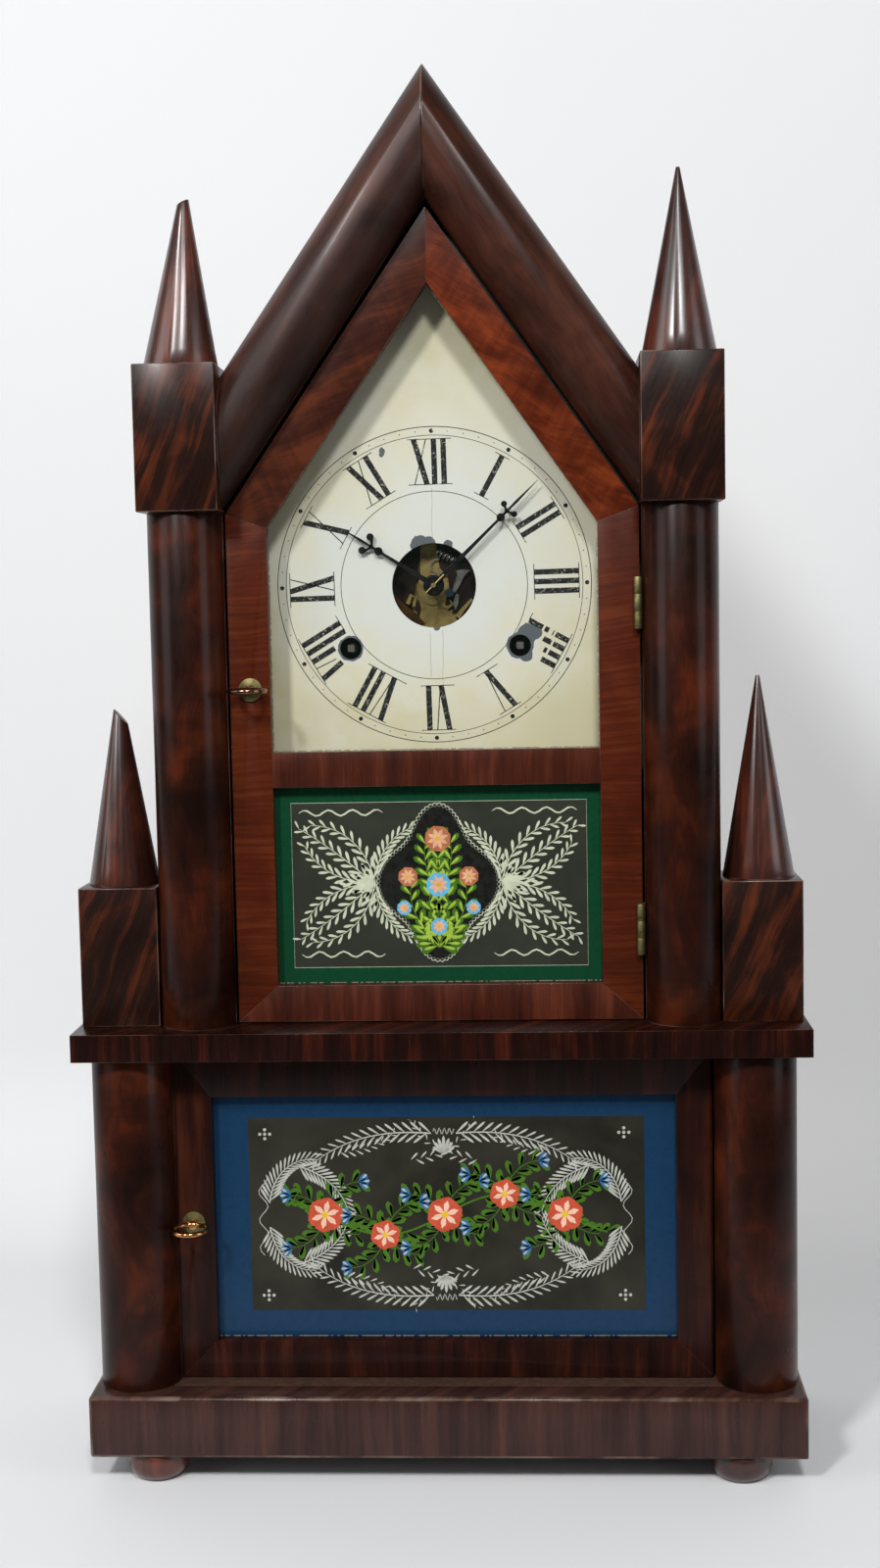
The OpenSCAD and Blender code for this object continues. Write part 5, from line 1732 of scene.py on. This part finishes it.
    def panel(self, name: str, kind: Finish, across: Point, heights: Point) -> list[Point]:
        """Painted field.

        Args:
            name: Its name.
            kind: Its finish.
            across: Its left and right edge.
            heights: Its lower and upper edge.

        Returns:
            Its corners.
        """
        (left, right), (low, high) = across, heights
        corners = [(left, low), (right, low), (right, high), (left, high)]
        ground = self.layer(name, kind, thick=0.01)
        ground.shape(corners)
        self.dry(ground)
        return corners


@dataclass
class UpperTablet(Tablet):
    """Green border, grey field, cream fronds and a standing bouquet."""

    body: str = "upper_door"
    slot: str = "upper_painting"
    middle: float = 284.2

    def build(self) -> None:
        """Paints the tablet."""
        self.bench.dress(Tint.BOTTLE, "upper_tablet")
        corners = self.panel("upper_field", Tint.GREY, (-69.6, 70.6), (243.9, 323.0))
        rim = self.layer("upper_field_line", Tint.CREAM, 0.01)
        rim.stroke(corners, [0.22], closed=True)
        self.dry(rim)
        self.bouquet()
        self.fronds()

    def bouquet(self) -> None:
        """Paints the bouquet on its dark ground, with a rope round it."""
        z, curl = self.middle, self.curl
        ground = self.layer("bouquet_ground", Tint.BLACK, 0.01)
        lobes = [(25.0 * math.cos(a) * (1 + 0.15 * math.cos(4 * a)),
                  z + 32.5 * math.sin(a) * (1 + 0.15 * math.cos(4 * a)))
                 for a in (2 * math.pi * i / 96 for i in range(96))]
        ground.shape(lobes)
        self.dry(ground)
        self.rope("bouquet_rope", lobes, Tint.CREAM, 46, 0.85, 0.3)
        stems = self.mirrored([curl(0, z - 30, 88, 52, 6), curl(0, z - 26, 66, 34, 60),
                               curl(0, z - 28, 38, 30, 60), curl(0, z - 6, 60, 26, 40),
                               curl(0, z - 31, 20, 14, 90)])
        green = self.layer("bouquet_stems", Tint.LEAF, 0.015)
        for path in stems:
            green.stroke(path, [0.7, 0.35])
        self.dry(green)
        self.spray("bouquet_leaves", stems, Tint.LEAF, Foliage(11, 8.4, 3.4, 44, 0.75), 0.02)
        self.spray("bouquet_lights", stems, Tint.LIGHT, Foliage(11, 6.6, 1.5, 38, 0.75), 0.03)
        self.flowers("rust_flower", [(0, z + 21, 6.4), (-14.5, z + 3, 4.8), (14.5, z + 3, 4.8)],
                     8, (Tint.ORANGE, Tint.PALE, Tint.OCHRE))
        self.flowers("blue_flower", [(0, z - 1, 6.0), (-16.5, z - 12, 3.6), (16.5, z - 12, 3.6),
                                     (0, z - 21, 4.2)], 8, (Tint.SKY, Tint.PALE, Tint.OCHRE))

    def fronds(self) -> None:
        """Paints the fronds, fans and ribbons on both sides of the bouquet."""
        z, curl = self.middle, self.curl
        fronds = self.mirrored([curl(30, z, 75, 45, -80), curl(31, z, 42, 44, -12),
                                curl(31, z, 4, 39, 62), curl(30, z + 4, 104, 30, 60)], z)
        lines = self.layer("cream_stems", Tint.CREAM, 0.01)
        for path in fronds:
            lines.stroke(path, [0.5, 0.25])
        for side in (-1, 1):
            for i in range(9):
                angle = (0 if side > 0 else 180) + (i - 4) * 11.0
                lines.petal(side * 30, z, angle, 10.0 - abs(i - 4), 1.6, step=i % 3)
            for up in (-1, 1):
                ribbon = [(side * (26 + i * 2.0), z + up * (34.0 + 1.4 * math.sin(i * 1.1)))
                          for i in range(21)]
                lines.stroke(ribbon, [0.3, 0.5, *[0.8] * 17, 0.5, 0.3])
        self.dry(lines)
        self.spray("cream_fronds", fronds, Tint.CREAM, Foliage(19, 7.4, 1.7, 34, 0.6))


@dataclass
class LowerTablet(Tablet):
    """Blue border, dark field, white feathers and a flowered festoon."""

    body: str = "lower_door"
    slot: str = "lower_painting"
    middle: float = 122.6

    def build(self) -> None:
        """Paints the tablet."""
        self.bench.dress(Tint.DEEP, "lower_tablet")
        self.panel("lower_field", Tint.DARK, (-94.6, 96.2), (75.2, 170.6))
        self.festoon()
        self.feathers()

    def garland(self, x: float) -> Point:
        """Point of the festoon's wave at x."""
        return (x, self.middle + 10.0 * math.sin(math.radians(x * 3.1)))

    def festoon(self) -> None:
        """Paints the festoon with its twigs, flowers and buds."""
        wave = [self.garland(x) for x in range(-78, 79, 4)]
        spots = [self.garland(x) for x in (-58.0, -29.0, 0.0, 29.0, 58.0)]
        twigs = [self.curl(x, z, angle, length, bend) for x, z in spots for angle, length, bend in (
            (75, 25, -75), (255, 25, -75), (125, 20, 60), (305, 20, 60))]
        stems = self.layer("festoon_stems", Tint.LEAF, 0.015)
        stems.stroke(wave, [0.9])
        for path in twigs:
            stems.stroke(path, [0.6, 0.3])
        self.dry(stems)
        paths = [wave, *twigs]
        self.spray("festoon_leaves", paths, Tint.LEAF, Foliage(9, 9.0, 3.6, 50, 0.8))
        self.spray("festoon_lights", paths, Tint.LIGHT, Foliage(9, 7.2, 1.6, 42, 0.8))
        blooms = [(x, z, 8.8 if i % 2 == 0 else 7.4) for i, (x, z) in enumerate(spots)]
        self.flowers("coral_flower", blooms, 6, (Tint.CORAL, Tint.BLUSH, Tint.YELLOW))
        buds = self.layer("blue_buds", Tint.BUD, 0.03)
        tips = self.layer("bud_tips", Tint.WHITE, 0.05)
        for path in twigs[::2] + twigs[1::4]:
            (x0, z0), (x, z) = path[-2:]
            heading = math.degrees(math.atan2(z - z0, x - x0))
            for turn in (-38.0, 0.0, 38.0):
                angle = heading + turn
                buds.petal(x, z, angle, 5.6, 3.0)
                tips.petal(x + 2.4 * math.cos(math.radians(angle)),
                           z + 2.4 * math.sin(math.radians(angle)), angle, 3.0, 1.0)
        self.dry(buds, tips)

    def feathers(self) -> None:
        """Paints the white feathers, quatrefoils, scrolls and fans round the field."""
        z, curl = self.middle, self.curl
        feathers = self.mirrored([curl(6, z + 40, 4, 62, -46), curl(85, z + 6, 100, 34, 88),
                                  curl(70, z + 24, 200, 34, 60)], z)
        lines = self.layer("white_stems", Tint.WHITE, 0.01)
        for path in feathers:
            lines.stroke(path, [0.7, 0.3])
        for side in (-1, 1):
            lines.stroke([(side * (88 + 2.2 * math.sin(i * 0.9)), z - 20 + 2.0 * i)
                          for i in range(21)], [0.35])
            for up in (-1, 1):
                for dx, dz in ((-2.4, 0), (2.4, 0), (0, 2.2), (0, -2.2), (0, 0)):
                    lines.disc(side * 86.5 + dx, z + up * 40 + dz, 0.8, 12)
        for up in (-1, 1):
            lines.stroke([(-5 + 0.5 * i, z + up * (41 + 1.6 * math.sin(i * 1.3)))
                          for i in range(21)], [0.35])
            for i in range(7):
                lines.petal(0, z + up * 30, up * 90 + (i - 3) * 19.0, 9.0 - 0.9 * abs(i - 3), 1.5)
        self.dry(lines)
        self.spray("white_feathers", feathers, Tint.WHITE, Foliage(31, 8.4, 1.2, 40, 0.6))
        inner = self.mirrored([curl(16, z + 27, 172, 38, -58), curl(50, z + 31, 176, 30, -42)], z)
        self.spray("white_sprays", inner, Tint.WHITE, Foliage(17, 5.0, 0.9, 38, 0.5))


@dataclass
class Brightwork:
    """Hinges, latches and keepers."""

    bench: Bench
    rose_back: float = -33.9
    rose_front: float = -35.3

    def latch(self, node: str, wire: Finish) -> None:
        """Dresses a latch: tarnished rose, brighter wire bow.

        Args:
            node: The CAD node.
            wire: Finish of the bow.
        """
        piece = self.bench.soften(node, 0.15, wire, wire)
        piece.data.materials.append(self.bench.finish(Bright.TARNISHED))
        for face in piece.data.polygons:
            if self.rose_front * MM < face.center.y < self.rose_back * MM:
                face.material_index = 2
        self.bench.settle(piece, self.bench.owner[node], self.bench.slots[node], node)

    def build(self) -> None:
        """Dresses the brass."""
        for node in ("hinge_case_leaves", "hinge_door_leaves", "latch_keepers"):
            self.bench.polish(node, 0.1, Bright.TARNISHED, Bright.TARNISHED)
        self.latch("upper_latch", Bright.PATINATED)
        self.latch("lower_latch", Bright.COPPERY)


@dataclass
class DrawCords:
    """Twisted cords between the drums and the draw levers."""

    bench: Bench
    x: float = 32.4
    y: float = 0.3
    low: float = 58.63
    high: float = 395.8
    radius: float = 0.8
    strands: int = 3
    turns: float = 110.0
    keep: float = 0.757  # share of the length that is left when the drum is full

    def build(self) -> None:
        """Builds a three-strand cord on each side."""
        tree = GeoTree("three-strand cord")
        turns, height, strand, side, depth, foot = map(
            tree.size, ("Turns", "Height", "Strand radius", "X", "Y", "Z"))
        spiral = tree.node("GeometryNodeCurveSpiral", {
            "Resolution": 10, "Rotations": turns, "Start Radius": strand, "End Radius": strand,
            "Height": height})
        profile = tree.node("GeometryNodeCurvePrimitiveCircle",
                            {"Resolution": 6, "Radius": strand})
        tube = tree.node("GeometryNodeCurveToMesh", {0: spiral, 1: profile, "Fill Caps": True})
        join = tree.node("GeometryNodeJoinGeometry")
        for i in range(self.strands):
            turn = math.radians(360 // self.strands * i)
            placed = tree.node("GeometryNodeTransform", {0: tube, "Rotation": (0.0, 0.0, turn)})
            tree.put(placed, join.inputs[0])
        where = tree.node("ShaderNodeCombineXYZ", {0: side, 1: depth, 2: foot})
        placed = tree.node("GeometryNodeTransform", {0: join, "Translation": where})
        tree.close(placed, self.bench.finish(Other.CORD))
        for sign, word, joint in ((1, "time", "time_winding"),
                                  (-1, "strike", "strike_winding")):
            piece = tree.grow(f"{word}_draw_cord", {
                "Turns": self.turns, "Height": (self.high - self.low) * MM,
                "Strand radius": self.radius / 2 * MM, "X": sign * self.x * MM,
                "Y": self.y * MM, "Z": self.low * MM})
            self.bench.settle(piece, "case", "cord", "draw_cords")
            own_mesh(piece)


def main() -> None:
    """Builds the studio and dresses every sub-assembly."""
    logging.basicConfig(level=logging.INFO, format="%(name)s: %(message)s")
    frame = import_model()
    Studio().build()
    bench = Bench(frame)
    for part in (CaseWork(bench), DoorWork(bench), DialWork(bench), HandWork(bench),
                 UpperTablet(bench), LowerTablet(bench), Brightwork(bench), DrawCords(bench)):
        part.build()
        LOG.info("%s finished", type(part).__name__)
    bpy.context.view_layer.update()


if __name__ == "__main__":
    main()
